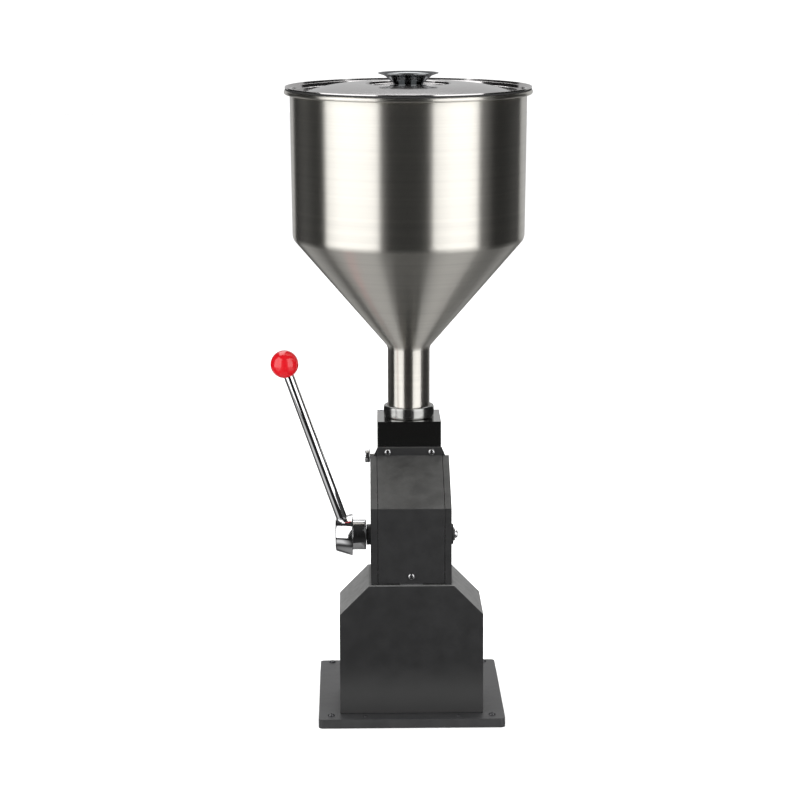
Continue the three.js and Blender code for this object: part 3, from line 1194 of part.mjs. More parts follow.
// Seat, poppet, spring and thumb screw of the inlet
function inletValve() {
  const seatTop = portFloor + SEAT_HEIGHT;
  const hubLow = seatTop - SEAT_HUB_HEIGHT;
  const parts = [disc(SEAT_HUB_RADIUS, hubLow, seatTop, SMALL_SIDES)];
  for (let i = 0; i < SEAT_SPOKE_COUNT; i += 1) {
    const middle = (SEAT_HUB_RADIUS + SEAT_HOLE_RADIUS) / 2;
    const half = SEAT_HOLE_RADIUS - middle + SEAT_SPOKE_WIDTH / 2;
    const spokeHalf = SEAT_SPOKE_WIDTH / 2;
    const spoke = box(middle - half, middle + half, -spokeHalf, spokeHalf, hubLow, seatTop);
    parts.push(spoke.rotateZ(i * Math.PI * 2 / SEAT_SPOKE_COUNT));
  }
  const seatRing = ring(SEAT_HOLE_RADIUS, seatRadius, portFloor, seatTop);
  const stemHole = INLET_STEM_RADIUS + RUN_GAP;
  const stemBore = disc(stemHole, hubLow - CUT_OVERRUN, seatTop + CUT_OVERRUN, SMALL_SIDES);
  add('inlet_seat', cut(join(seatRing, ...parts), stemBore), 'steel');
  const headTop = portFloor - SEAT_GAP;
  const retainerLow = seatTop + INLET_SPRING_LENGTH;
  const stemTop = retainerLow + RETAINER_THICK;
  add('inlet_poppet', turned([
    [0, headTop - INLET_HEAD_THICK],
    [INLET_HEAD_RADIUS, headTop - INLET_HEAD_THICK],
    [INLET_HEAD_RADIUS, headTop],
    [INLET_STEM_RADIUS, headTop],
    [INLET_STEM_RADIUS, retainerLow],
    [RETAINER_RADIUS, retainerLow],
    [RETAINER_RADIUS, stemTop],
    [0, stemTop],
  ], SMALL_SIDES), 'steel');
  const springLength = INLET_SPRING_LENGTH - SEAT_GAP * 2;
  const spring = coil(INLET_SPRING_RADIUS, INLET_SPRING_WIRE, springLength, INLET_SPRING_TURNS);
  add('inlet_spring', spring.translate(0, 0, seatTop + SEAT_GAP), 'steel');
}

function thumbScrew() {
  const face = -BLOCK_WIDTH / 2;
  const headIn = face - THUMB_HEAD_PROUD;
  const headOut = headIn - THUMB_HEAD_LENGTH;
  const collarOut = face - SEAT_GAP - THUMB_COLLAR_LENGTH;
  const bevel = THUMB_HEAD_LENGTH / 4;
  const screw = turned([
    [0, headOut],
    [THUMB_HEAD_RADIUS - bevel, headOut],
    [THUMB_HEAD_RADIUS, headOut + bevel],
    [THUMB_HEAD_RADIUS, headIn - bevel],
    [THUMB_WAIST_RADIUS, headIn],
    [THUMB_WAIST_RADIUS, collarOut - bevel],
    [THUMB_COLLAR_RADIUS, collarOut],
    [THUMB_COLLAR_RADIUS, face - SEAT_GAP],
    [THUMB_SHANK_RADIUS, face - SEAT_GAP],
    [THUMB_SHANK_RADIUS, -seatRadius - SEAT_GAP],
    [0, -seatRadius - SEAT_GAP],
  ], SMALL_SIDES);
  add('thumb_screw', alongX(screw, 0, thumbZ), 'zinc');
}

const outletGasketLow = spigotEnd - OUTLET_GASKET_THICK;
const nozzleFlangeLow = outletGasketLow - NOZZLE_FLANGE_THICK;
const nozzleFlangeRadius = OUTLET_SPIGOT_RADIUS - NOZZLE_FLANGE_CLEARANCE;

// Nozzle under the block, its nut, gasket and spring loaded outlet valve
function nozzle() {
  const bodyLow = nozzleFlangeLow - NOZZLE_BODY_LENGTH;
  const taperLow = bodyLow - NOZZLE_TAPER_LENGTH;
  const tip = taperLow - NOZZLE_TIP_LENGTH;
  const chamberLow = outletGasketLow - NOZZLE_CHAMBER_LENGTH;
  const at = (geometry) => geometry.translate(0, OUTLET_Y, 0);
  add('nozzle', at(turned([
    [NOZZLE_CHAMBER_RADIUS, outletGasketLow],
    [nozzleFlangeRadius, outletGasketLow],
    [nozzleFlangeRadius, nozzleFlangeLow],
    [NOZZLE_BODY_RADIUS, nozzleFlangeLow],
    [NOZZLE_BODY_RADIUS, bodyLow],
    [NOZZLE_TIP_RADIUS, taperLow],
    [NOZZLE_TIP_RADIUS, tip],
    [NOZZLE_BORE_RADIUS, tip],
    [NOZZLE_BORE_RADIUS, chamberLow],
    [NOZZLE_CHAMBER_RADIUS, chamberLow],
    [NOZZLE_CHAMBER_RADIUS, outletGasketLow],
  ])), 'polished');
  const gasketIn = NOZZLE_CHAMBER_RADIUS + SEAT_GAP;
  add('outlet_gasket', at(ring(gasketIn, nozzleFlangeRadius, outletGasketLow, spigotEnd)), 'rubber');
  const nutInner = OUTLET_SPIGOT_RADIUS + SEAT_GAP;
  const lipHigh = nozzleFlangeLow - SEAT_GAP;
  const lipLow = lipHigh - NOZZLE_NUT_LIP;
  const nutTop = spigotEnd + NOZZLE_NUT_OVERLAP;
  const edge = NOZZLE_NUT_GRIP_RADIUS;
  const nut = turned([
    [NOZZLE_BODY_RADIUS + SEAT_GAP, lipLow],
    [NOZZLE_NUT_RADIUS - edge, lipLow],
    [NOZZLE_NUT_RADIUS, lipLow + edge],
    [NOZZLE_NUT_RADIUS, nutTop - edge],
    [NOZZLE_NUT_RADIUS - edge, nutTop],
    [nutInner, nutTop],
    [nutInner, lipHigh],
    [NOZZLE_BODY_RADIUS + SEAT_GAP, lipHigh],
    [NOZZLE_BODY_RADIUS + SEAT_GAP, lipLow],
  ]);
  const grips = [];
  for (let i = 0; i < NOZZLE_NUT_GRIPS; i += 1) {
    const angle = i * Math.PI * 2 / NOZZLE_NUT_GRIPS;
    const reach = NOZZLE_NUT_RADIUS + NOZZLE_NUT_GRIP_RADIUS / 3;
    const grip = disc(NOZZLE_NUT_GRIP_RADIUS, lipLow - CUT_OVERRUN, nutTop + CUT_OVERRUN, 10);
    grips.push(grip.translate(Math.cos(angle) * reach, Math.sin(angle) * reach, 0));
  }
  add('nozzle_nut', at(cut(nut, ...grips)), 'polished');
  const headTop = spigotEnd - SEAT_GAP;
  const headLow = headTop - OUTLET_HEAD_THICK;
  add('outlet_poppet', at(turned([
    [0, headLow - OUTLET_STEM_LENGTH],
    [OUTLET_STEM_RADIUS, headLow - OUTLET_STEM_LENGTH],
    [OUTLET_STEM_RADIUS, headLow],
    [OUTLET_HEAD_RADIUS, headLow],
    [OUTLET_HEAD_RADIUS, headTop - OUTLET_HEAD_THICK / 2],
    [OUTLET_RADIUS, headTop],
    [0, headTop],
  ], SMALL_SIDES)), 'steel');
  const springLength = headLow - chamberLow - SEAT_GAP * 2;
  const spring = coil(OUTLET_SPRING_RADIUS, OUTLET_SPRING_WIRE, springLength, OUTLET_SPRING_TURNS);
  add('outlet_spring', spring.translate(0, OUTLET_Y, chamberLow + SEAT_GAP), 'steel');
}

basePlate();
lowerBox();
columnHousing();
rearCover();
valveBlock();
pumpSleeve();
piston();
rack();
pinion();
rackGuide();
leverShaft();
lever();
doseStop();
hopper();
unionNut();
lid();
inletValve();
thumbScrew();
nozzle();

export default group;
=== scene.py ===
"""Manual bottle filler: a lidded steel hopper on a polished valve block, with a coated column and a hand lever."""
import json
import math

import bmesh
import bpy
from mathutils import Matrix, Vector


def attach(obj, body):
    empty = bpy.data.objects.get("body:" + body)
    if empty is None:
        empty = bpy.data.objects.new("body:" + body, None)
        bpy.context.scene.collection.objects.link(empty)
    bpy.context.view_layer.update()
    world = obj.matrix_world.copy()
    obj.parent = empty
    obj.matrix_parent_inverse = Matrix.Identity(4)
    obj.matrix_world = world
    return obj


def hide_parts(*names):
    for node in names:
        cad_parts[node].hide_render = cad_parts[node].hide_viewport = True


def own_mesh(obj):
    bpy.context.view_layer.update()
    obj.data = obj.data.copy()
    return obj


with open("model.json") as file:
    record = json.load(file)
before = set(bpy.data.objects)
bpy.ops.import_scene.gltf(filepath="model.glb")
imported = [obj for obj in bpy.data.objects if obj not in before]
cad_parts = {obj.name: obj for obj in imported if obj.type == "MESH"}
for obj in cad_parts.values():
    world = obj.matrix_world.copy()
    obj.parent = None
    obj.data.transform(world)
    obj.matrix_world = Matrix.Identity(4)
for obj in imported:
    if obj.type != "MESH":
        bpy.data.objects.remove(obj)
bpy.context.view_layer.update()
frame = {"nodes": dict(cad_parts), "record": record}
for plain in list(bpy.data.materials):
    bpy.data.materials.remove(plain)

# Lengths in the shapes are millimetres, and the scene's own unit is the metre.
MM = 0.001
WELD = 0.000002
CORNER_STEPS = 4
EDGE_STEPS = 2
LARGE_STEPS = 192
MEDIUM_STEPS = 96
SMALL_STEPS = 48
SMOOTH_ANGLE = math.radians(32)
FLAT_ANGLE = math.radians(0.5)
SHARP_ANGLE = math.radians(40)
SHORTEST_EDGE = 3.0

# The side where the photograph was taken is the rear.
UP = Matrix.Identity(4)
TO_LEFT = Matrix.Rotation(math.radians(-90), 4, "Y")
TO_RIGHT = Matrix.Rotation(math.radians(90), 4, "Y")
TO_REAR = Matrix.Rotation(math.radians(90), 4, "X")


# Camera: the photograph's viewing angle

PHOTO_PIXELS = 800
FOCAL_PIXELS = 2597.57
SENSOR_MM = 36.0
CAMERA_PLACE = (-62.48, -2806.57, 873.50)
CAMERA_YAW = -0.018826
CAMERA_PITCH = 0.191086
CAMERA_ROLL = 0.001975
FAR_END = 50.0


def photo_camera():
    """The camera looks along +Y, a little to the right and 11 degrees down."""
    ahead = Vector(
        (
            -math.sin(CAMERA_YAW) * math.cos(CAMERA_PITCH),
            math.cos(CAMERA_YAW) * math.cos(CAMERA_PITCH),
            -math.sin(CAMERA_PITCH),
        )
    )
    level = Vector((math.cos(CAMERA_YAW), math.sin(CAMERA_YAW), 0.0))
    below = ahead.cross(level)
    right = math.cos(CAMERA_ROLL) * level + math.sin(CAMERA_ROLL) * below
    down = math.cos(CAMERA_ROLL) * below - math.sin(CAMERA_ROLL) * level
    data = bpy.data.cameras.new("photo_camera")
    data.sensor_width = SENSOR_MM
    data.lens = FOCAL_PIXELS * SENSOR_MM / PHOTO_PIXELS
    data.clip_end = FAR_END
    camera = bpy.data.objects.new("photo_camera", data)
    bpy.context.scene.collection.objects.link(camera)
    turn = Matrix((right, -down, -ahead)).transposed().to_4x4()
    camera.matrix_world = Matrix.Translation(Vector(CAMERA_PLACE) * MM) @ turn
    bpy.context.scene.camera = camera


# Shapes

def rounded(bm, parts, width, steps, affect, clamp=False):
    """Gives corners or edges a small radius."""
    bmesh.ops.bevel(
        bm,
        geom=parts,
        offset=width * MM,
        offset_type="OFFSET",
        segments=steps,
        profile=0.5,
        affect=affect,
        clamp_overlap=clamp,
        material=-1,
    )


def profile(bm, points, closed):
    """Joins (radius, height, rounding) points into a line in the XZ plane, then rounds its corners."""
    corners = [bm.verts.new((radius * MM, 0.0, height * MM)) for radius, height, _ in points]
    for first, second in zip(corners, corners[1:]):
        bm.edges.new((first, second))
    if closed:
        bm.edges.new((corners[-1], corners[0]))
    for corner, (_, _, rounding) in zip(corners, points):
        if rounding:
            rounded(bm, [corner], rounding, CORNER_STEPS, "VERTICES")


def spun(points, steps=MEDIUM_STEPS, closed=False):
    """Turns a profile full circle about Z."""
    bm = bmesh.new()
    profile(bm, points, closed)
    bmesh.ops.spin(
        bm,
        geom=bm.verts[:] + bm.edges[:],
        cent=(0.0, 0.0, 0.0),
        axis=(0.0, 0.0, 1.0),
        dvec=(0.0, 0.0, 0.0),
        angle=math.tau,
        steps=steps,
        use_merge=True,
        use_duplicate=False,
    )
    bmesh.ops.remove_doubles(bm, verts=bm.verts[:], dist=WELD)
    bmesh.ops.recalc_face_normals(bm, faces=bm.faces[:])
    return bm


def placed(bm, centre, turn=UP):
    """Turns a shape and moves it to its place."""
    bmesh.ops.transform(bm, matrix=Matrix.Translation(Vector(centre) * MM) @ turn, verts=bm.verts[:])
    return bm


def sunk(bm, faces):
    """Draws the faces out into walls and a floor, and returns the corners of the floor."""
    drawn = bmesh.ops.extrude_face_region(bm, geom=faces)
    bmesh.ops.delete(bm, geom=faces, context="FACES_ONLY")
    return [part for part in drawn["geom"] if isinstance(part, bmesh.types.BMVert)]


def off_middle(around, count):
    """The angle to the nearest of so many even places round the axis."""
    pitch = math.tau / count
    return abs((around + pitch / 2) % pitch - pitch / 2)


def cad_copy(node):
    """A merged copy of a CAD node, with its flat faces joined."""
    bm = bmesh.new()
    bm.from_mesh(frame["nodes"][node].data)
    bmesh.ops.remove_doubles(bm, verts=bm.verts[:], dist=WELD)
    bmesh.ops.dissolve_limit(bm, angle_limit=FLAT_ANGLE, verts=bm.verts[:], edges=bm.edges[:])
    return bm


def edged(node, width):
    """A copy of a CAD node with a small radius on its long sharp edges."""
    bm = cad_copy(node)
    sharp = [
        edge
        for edge in bm.edges
        if len(edge.link_faces) == 2
        and edge.calc_face_angle() > SHARP_ANGLE
        and edge.calc_length() > SHORTEST_EDGE * MM
    ]
    rounded(bm, sharp, width, EDGE_STEPS, "EDGES", clamp=True)
    return bm


def piece(name, bm, body, material, nodes):
    """Makes the finished mesh a named piece that rides on its body in the place of its CAD nodes."""
    mesh = bpy.data.meshes.new(name)
    bm.to_mesh(mesh)
    bm.free()
    mesh.polygons.foreach_set("use_smooth", [True] * len(mesh.polygons))
    mesh.set_sharp_from_angle(angle=SMOOTH_ANGLE)
    mesh.materials.append(material)
    thing = bpy.data.objects.new(name, mesh)
    bpy.context.scene.collection.objects.link(thing)
    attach(thing, body)
    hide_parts(*nodes)
    return thing


# Node helpers

def axes_of(tree, vector):
    """A vector's X, Y and Z."""
    apart = tree.nodes.new("ShaderNodeSeparateXYZ")
    tree.links.new(vector, apart.inputs["Vector"])
    return apart.outputs


def coordinates(tree, kind):
    """The X, Y and Z of one kind of texture coordinate."""
    where = tree.nodes.new("ShaderNodeTexCoord")
    return axes_of(tree, where.outputs[kind])


def flat_part(tree, axes, operation):
    """The X and Y of a vector, with Z at 0, put through a vector operation."""
    flat = tree.nodes.new("ShaderNodeCombineXYZ")
    tree.links.new(axes["X"], flat.inputs["X"])
    tree.links.new(axes["Y"], flat.inputs["Y"])
    result = tree.nodes.new("ShaderNodeVectorMath")
    result.operation = operation
    tree.links.new(flat.outputs["Vector"], result.inputs[0])
    return result


def spread_over(tree, value, start, end, low=0.0, high=1.0, interpolation="LINEAR"):
    """Runs from low to high as the value goes from start to end."""
    spread = tree.nodes.new("ShaderNodeMapRange")
    spread.interpolation_type = interpolation
    for socket, number in (("From Min", start), ("From Max", end), ("To Min", low), ("To Max", high)):
        spread.inputs[socket].default_value = number
    tree.links.new(value, spread.inputs["Value"])
    return spread.outputs["Result"]


def ramp_over(tree, value, stops):
    """A colour that runs through the (place, tone) stops as the value goes from 0 to 1."""
    ramp = tree.nodes.new("ShaderNodeValToRGB")
    while len(ramp.color_ramp.elements) < len(stops):
        ramp.color_ramp.elements.new(1.0)
    for element, (place, tone) in zip(ramp.color_ramp.elements, stops):
        element.position = place
        element.color = (*tone, 1.0)
    tree.links.new(value, ramp.inputs["Fac"])
    return ramp.outputs["Color"]


def reckoned(tree, operation, first, second):
    """Two values put through a math operation."""
    result = tree.nodes.new("ShaderNodeMath")
    result.operation = operation
    tree.links.new(first, result.inputs[0])
    tree.links.new(second, result.inputs[1])
    return result.outputs["Value"]


# Finishes

SHADER = "Principled BSDF"
NOISE_ROUGHNESS = 0.6
ROUGH_SPAN = (0.3, 0.7)
TONE_SPAN = (0.35, 0.65)


def finish(name, colour, metallic, roughness, **sockets):
    """A new material with its own shader values set."""
    material = bpy.data.materials.new(name)
    material.use_nodes = True
    shader = material.node_tree.nodes[SHADER]
    shader.inputs["Base Color"].default_value = (*colour, 1.0)
    shader.inputs["Metallic"].default_value = metallic
    shader.inputs["Roughness"].default_value = roughness
    for socket, value in sockets.items():
        shader.inputs[socket.replace("_", " ")].default_value = value
    return material


def surface_noise(material, scale, detail=4.0, rings=False):
    """Noise over the piece's own coordinates. With rings it runs round the Z axis, as turning marks do."""
    tree = material.node_tree
    where = tree.nodes.new("ShaderNodeTexCoord")
    source = where.outputs["Object"]
    if rings:
        axes = axes_of(tree, source)
        from_axis = flat_part(tree, axes, "LENGTH")
        joined = tree.nodes.new("ShaderNodeCombineXYZ")
        tree.links.new(from_axis.outputs["Value"], joined.inputs["X"])
        tree.links.new(axes["Z"], joined.inputs["Z"])
        source = joined.outputs["Vector"]
    noise = tree.nodes.new("ShaderNodeTexNoise")
    noise.inputs["Scale"].default_value = scale
    noise.inputs["Detail"].default_value = detail
    noise.inputs["Roughness"].default_value = NOISE_ROUGHNESS
    tree.links.new(source, noise.inputs["Vector"])
    return noise.outputs["Fac"]


def vary_roughness(material, pattern, low, high):
    """Roughness runs between low and high with the pattern."""
    tree = material.node_tree
    tree.links.new(spread_over(tree, pattern, *ROUGH_SPAN, low, high), tree.nodes[SHADER].inputs["Roughness"])


def vary_colour(material, pattern, tones):
    """The colour runs between two tones with the pattern."""
    tree = material.node_tree
    tree.links.new(ramp_over(tree, pattern, list(zip(TONE_SPAN, tones))), tree.nodes[SHADER].inputs["Base Color"])


def raise_grain(material, pattern, height, strength):
    """The pattern stands out of the surface by height."""
    tree = material.node_tree
    bump = tree.nodes.new("ShaderNodeBump")
    bump.inputs["Strength"].default_value = strength
    bump.inputs["Distance"].default_value = height * MM
    tree.links.new(pattern, bump.inputs["Height"])
    tree.links.new(bump.outputs["Normal"], tree.nodes[SHADER].inputs["Normal"])


def around_tone(tone, shares):
    """The tone times each share."""
    return [[min(1.0, value * share) for value in tone] for share in shares]


def lay_over(material, share):
    """Lays a new colour over the material's own by the share, and returns the new colour's socket."""
    tree = material.node_tree
    own_colour = tree.nodes[SHADER].inputs["Base Color"]
    mix = tree.nodes.new("ShaderNodeMix")
    mix.data_type = "RGBA"
    tree.links.new(share, mix.inputs["Factor"])
    tree.links.new(own_colour.links[0].from_socket, mix.inputs["A"])
    tree.links.new(mix.outputs["Result"], own_colour)
    return mix.inputs["B"]


BRUSH_TURN = 0.25


def brush_round(material, amount):
    """Brushing that runs round the Z axis, so reflections are drawn out up and down."""
    tree = material.node_tree
    tangent = tree.nodes.new("ShaderNodeTangent")
    tangent.direction_type = "RADIAL"
    tangent.axis = "Z"
    shader = tree.nodes[SHADER]
    shader.inputs["Anisotropic"].default_value = amount
    shader.inputs["Anisotropic Rotation"].default_value = BRUSH_TURN
    tree.links.new(tangent.outputs["Tangent"], shader.inputs["Tangent"])


PEEL_SCALE = 900.0
PEEL_DETAIL = 2.0
PEEL_HEIGHT = 0.05
PEEL_STRENGTH = 0.55
COAT_CLOUD_SCALE = 60.0
COAT_CLOUD_DETAIL = 6.0
COAT_SMOOTHER = 0.03
COAT_ROUGHER = 0.05
COAT_SHARES = (0.9, 1.1)


def coat_finish(name, tone, roughness):
    """Charcoal powder coat with its fine orange peel."""
    coat = finish(name, tone, 0.0, roughness, Specular_IOR_Level=0.5)
    peel = surface_noise(coat, PEEL_SCALE, PEEL_DETAIL)
    cloud = surface_noise(coat, COAT_CLOUD_SCALE, COAT_CLOUD_DETAIL)
    vary_roughness(coat, cloud, roughness - COAT_SMOOTHER, roughness + COAT_ROUGHER)
    vary_colour(coat, cloud, around_tone(tone, COAT_SHARES))
    raise_grain(coat, peel, PEEL_HEIGHT, PEEL_STRENGTH)
    return coat


# How far a face must look up before it takes the painted light from above.
TOP_FACING = (0.25, 0.55)


def painted_top_light(material, pattern, tones):
    """Faces that look up carry painted light from above: a lighter, cloudy colour over the material's own."""
    tree = material.node_tree
    facing = spread_over(tree, coordinates(tree, "Normal")["Z"], *TOP_FACING)
    painted_light = ramp_over(tree, pattern, list(zip(TONE_SPAN, tones)))
    tree.links.new(painted_light, lay_over(material, facing))


def painted_floor_light(material, tone, start, full):
    """Painted light from the floor: a lighter colour, whole up to the height full and faded out at the height start.
    """
    tree = material.node_tree
    height = coordinates(tree, "Object")["Z"]
    near_foot = spread_over(tree, height, start * MM, full * MM, interpolation="SMOOTHSTEP")
    lay_over(material, near_foot).default_value = (*tone, 1.0)


LINE_SCALE = 1400.0
LINE_HEIGHT = 0.0015
LINE_STRENGTH = 0.3
STEEL_CLOUD_SCALE = 20.0
STEEL_DETAIL = 3.0
STEEL_ROUGH_SHARES = (0.92, 1.1)
STEEL_TONE_SHARES = (0.95, 1.03)


def steel_finish(name, tone, roughness, scale=LINE_SCALE, rings=True, height=LINE_HEIGHT, streaks=None):
    """Bright metal with fine lines or grain, and broader turned streaks at their own scale if it is given."""
    steel = finish(name, tone, 1.0, roughness)
    lines = surface_noise(steel, scale, rings=rings, detail=STEEL_DETAIL)
    cloud = surface_noise(steel, streaks or STEEL_CLOUD_SCALE, rings=bool(streaks), detail=STEEL_DETAIL)
    vary_roughness(steel, lines, *(roughness * share for share in STEEL_ROUGH_SHARES))
    vary_colour(steel, cloud, around_tone(tone, STEEL_TONE_SHARES))
    raise_grain(steel, lines, height, LINE_STRENGTH)
    return steel


COAT_TONE = (0.0135, 0.0135, 0.014)
# Painted light from above: lighter tones for the up-facing faces of the column and cover, and of the lower box.
COLUMN_PAINTED_LIGHT = ((0.028, 0.028, 0.0275), (0.046, 0.046, 0.045))
BOX_PAINTED_LIGHT = ((0.098, 0.098, 0.097), (0.140, 0.140, 0.138))
# Painted light from the white floor, which lightens the lower box near its foot.
BOX_FLOOR_LIGHT = (0.029, 0.029, 0.029)
FLOOR_LIGHT_START = 70.0
FLOOR_LIGHT_FULL = 28.0
PLATE_TONE = (0.030, 0.030, 0.031)
STEEL_TONE = (0.74, 0.73, 0.71)
HOPPER_TONE = (0.745, 0.722, 0.668)
LID_TONE = (0.60, 0.585, 0.585)
BLOCK_TONE = (0.44, 0.44, 0.43)
NUT_TONE = (0.38, 0.38, 0.37)
CHROME_TONE = (0.80, 0.80, 0.81)
KNOB_TONE = (0.33, 0.34, 0.345)
KNOB_EDGE_TINT = (0.42, 0.425, 0.435)
BLACK_SCREW_TONE = (0.10, 0.10, 0.105)
ZINC_TONE = (0.60, 0.61, 0.63)
BALL_TONE = (0.41, 0.002, 0.007)
BALL_TONES = ((0.40, 0.0020, 0.0065), (0.44, 0.0030, 0.0080))
BLACK_TONE = (0.012, 0.012, 0.013)
RUBBER_TONE = (0.014, 0.014, 0.014)

powder_coat = coat_finish("powder_coat", COAT_TONE, 0.42)
# Painted light from above on the up-facing faces of the column and rear cover.
painted_top_light(powder_coat, surface_noise(powder_coat, scale=48.0), COLUMN_PAINTED_LIGHT)
box_coat = coat_finish("box_coat", COAT_TONE, 0.42)
# Painted light from the floor near the box's foot.
painted_floor_light(box_coat, BOX_FLOOR_LIGHT, FLOOR_LIGHT_START, FLOOR_LIGHT_FULL)
# Painted light from above on the lower box's up-facing faces and chamfers.
painted_top_light(box_coat, surface_noise(box_coat, scale=160.0, detail=6.0), BOX_PAINTED_LIGHT)
plate_coat = coat_finish("plate_coat", PLATE_TONE, 0.40)
hopper_steel = steel_finish("hopper_steel", HOPPER_TONE, 0.34, streaks=220.0)
brush_round(hopper_steel, 1.0)
lid_steel = steel_finish("lid_steel", LID_TONE, 0.13)
brush_round(lid_steel, 0.4)
block_steel = steel_finish("block_steel", BLOCK_TONE, 0.1, rings=False, scale=500.0, height=0.003)
nut_steel = steel_finish("nut_steel", NUT_TONE, 0.2)
chrome = steel_finish("chrome", CHROME_TONE, 0.07, rings=False, scale=240.0, height=0.002)
dark_chrome = steel_finish("dark_chrome", KNOB_TONE, 0.12, rings=False, scale=240.0, height=0.002)
dark_chrome.node_tree.nodes[SHADER].inputs["Specular Tint"].default_value = (*KNOB_EDGE_TINT, 1.0)
screw_chrome = steel_finish("screw_chrome", CHROME_TONE, 0.16, rings=False, scale=900.0, height=0.004)
black_screws = steel_finish("black_screws", BLACK_SCREW_TONE, 0.35, rings=False, scale=900.0, height=0.004)
machined_steel = steel_finish("machined_steel", STEEL_TONE, 0.28, rings=False)
zinc_fasteners = steel_finish("zinc_fasteners", ZINC_TONE, 0.34, rings=False)

ball_plastic = finish("ball_plastic", BALL_TONE, 0.0, 0.2, Coat_Weight=0.5, Coat_Roughness=0.1)
vary_roughness(ball_plastic, surface_noise(ball_plastic, scale=120.0), low=0.12, high=0.22)
vary_colour(ball_plastic, surface_noise(ball_plastic, scale=60.0), BALL_TONES)

black_plastic = finish("black_plastic", BLACK_TONE, 0.0, 0.4)
vary_roughness(black_plastic, surface_noise(black_plastic, scale=300.0), low=0.32, high=0.48)
raise_grain(black_plastic, surface_noise(black_plastic, scale=1500.0), height=0.02, strength=0.4)

rubber = finish("rubber", RUBBER_TONE, 0.0, 0.7)
vary_roughness(rubber, surface_noise(rubber, scale=400.0), low=0.6, high=0.8)
raise_grain(rubber, surface_noise(rubber, scale=2000.0), height=0.02, strength=0.4)

FINISHES = {
    material.name: material
    for material in (
        powder_coat, plate_coat, hopper_steel, lid_steel, block_steel, nut_steel, chrome,
        screw_chrome, ball_plastic, black_plastic, rubber, machined_steel, zinc_fasteners,
    )
}


def dress_cad_nodes():
    """Every CAD node takes the finish of its slot."""
    for entry in frame["record"]["subparts"]:
        slots = frame["nodes"][entry["node"]].data.materials
        slots.clear()
        slots.append(FINISHES[entry["material_slot"]])


# Hopper, lid and nut

def hopper():
    """Rolled rim, cylinder, cone and neck in one thin shell, with the ferrule at its foot."""
    outline = [
        (24.9, 321.0, 0.3), (24.9, 323.5, 0.3), (23.1, 323.5, 0.3), (23.1, 391.0, 3.0),
        (126.0, 510.8, 4.0), (127.8, 666.5, 0.6), (134.0, 666.2, 2.5), (134.0, 671.4, 2.5),
        (126.2, 671.4, 0.8), (124.4, 511.4, 4.0), (21.3, 391.8, 3.0), (21.3, 321.0, 0.3),
    ]
    piece("hopper_shell", spun(outline, LARGE_STEPS, closed=True), "frame", hopper_steel, ["hopper"])


DOME_STEPS = 14
DOME_FOOT = (111.3, 668.8)
DOME_CREST = (46.0, 677.6)
DOME_POWER = 2.4
LID_SHEET = 1.0


def dome_points():
    """The lid's dome from its foot to its crest."""
    for step in range(1, DOME_STEPS):
        share = step / DOME_STEPS
        radius = DOME_FOOT[0] + (DOME_CREST[0] - DOME_FOOT[0]) * share
        height = DOME_FOOT[1] + (DOME_CREST[1] - DOME_FOOT[1]) * (1.0 - (1.0 - share) ** DOME_POWER)
        yield radius, height


def lid():
    """The lid pan with its gutter and dome, its gasket, and the flared knob."""
    dome = list(dome_points())
    outline = [
        (132.8, 673.1, 0.0), (133.0, 673.2, 0.1), (133.0, 674.5, 0.1), (132.7, 674.5, 0.1), (131.2, 672.1, 0.2),
        (125.4, 672.9, 0.5), (124.8, 668.8, 1.0), (*DOME_FOOT, 1.5),
    ]
    outline += [(radius, height, 0.0) for radius, height in dome]
    outline += [
        (*DOME_CREST, 0.8), (45.2, 674.6, 0.8), (3.3, 674.6, 0.0), (3.3, 673.6, 0.0), (45.6, 673.6, 0.0),
    ]
    outline += [(radius, height - LID_SHEET, 0.0) for radius, height in reversed(dome)]
    outline += [(111.0, 667.8, 0.0), (125.6, 667.8, 0.0), (125.8, 671.8, 0.0), (131.4, 671.8, 0.0)]
    piece("lid_pan", spun(outline, LARGE_STEPS, closed=True), "hopper_lid", lid_steel, ["lid"])
    ring = [
        (126.9, 671.4, 0.1), (132.8, 671.4, 0.1), (132.8, 673.0, 0.1), (131.3, 671.8, 0.0), (126.9, 671.8, 0.1),
    ]
    piece("lid_seal", spun(ring, LARGE_STEPS, closed=True), "hopper_lid", rubber, ["lid_gasket"])
    knob = [
        (0.0, 674.6, 0.0), (20.0, 674.6, 0.2), (20.0, 675.8, 0.5), (15.3, 676.0, 0.6), (15.6, 677.0, 0.8),
        (25.6, 686.0, 2.5), (32.6, 688.2, 0.2), (32.6, 688.8, 0.2), (25.0, 687.0, 1.2), (23.2, 683.2, 1.5),
        (0.0, 683.2, 0.0),
    ]
    piece("lid_knob_cup", spun(knob, MEDIUM_STEPS), "hopper_lid", dark_chrome, ["lid_knob"])


NUT_STEPS = 144
NUT_RADIUS = 27.6
NUT_WALL_BAND = 0.4
NOTCH_COUNT = 6
NOTCH_HALF_TURN = math.radians(10.2)
NOTCH_FLOOR = 26.2
NOTCH_LOW = 315.6
NOTCH_HIGH = 322.6


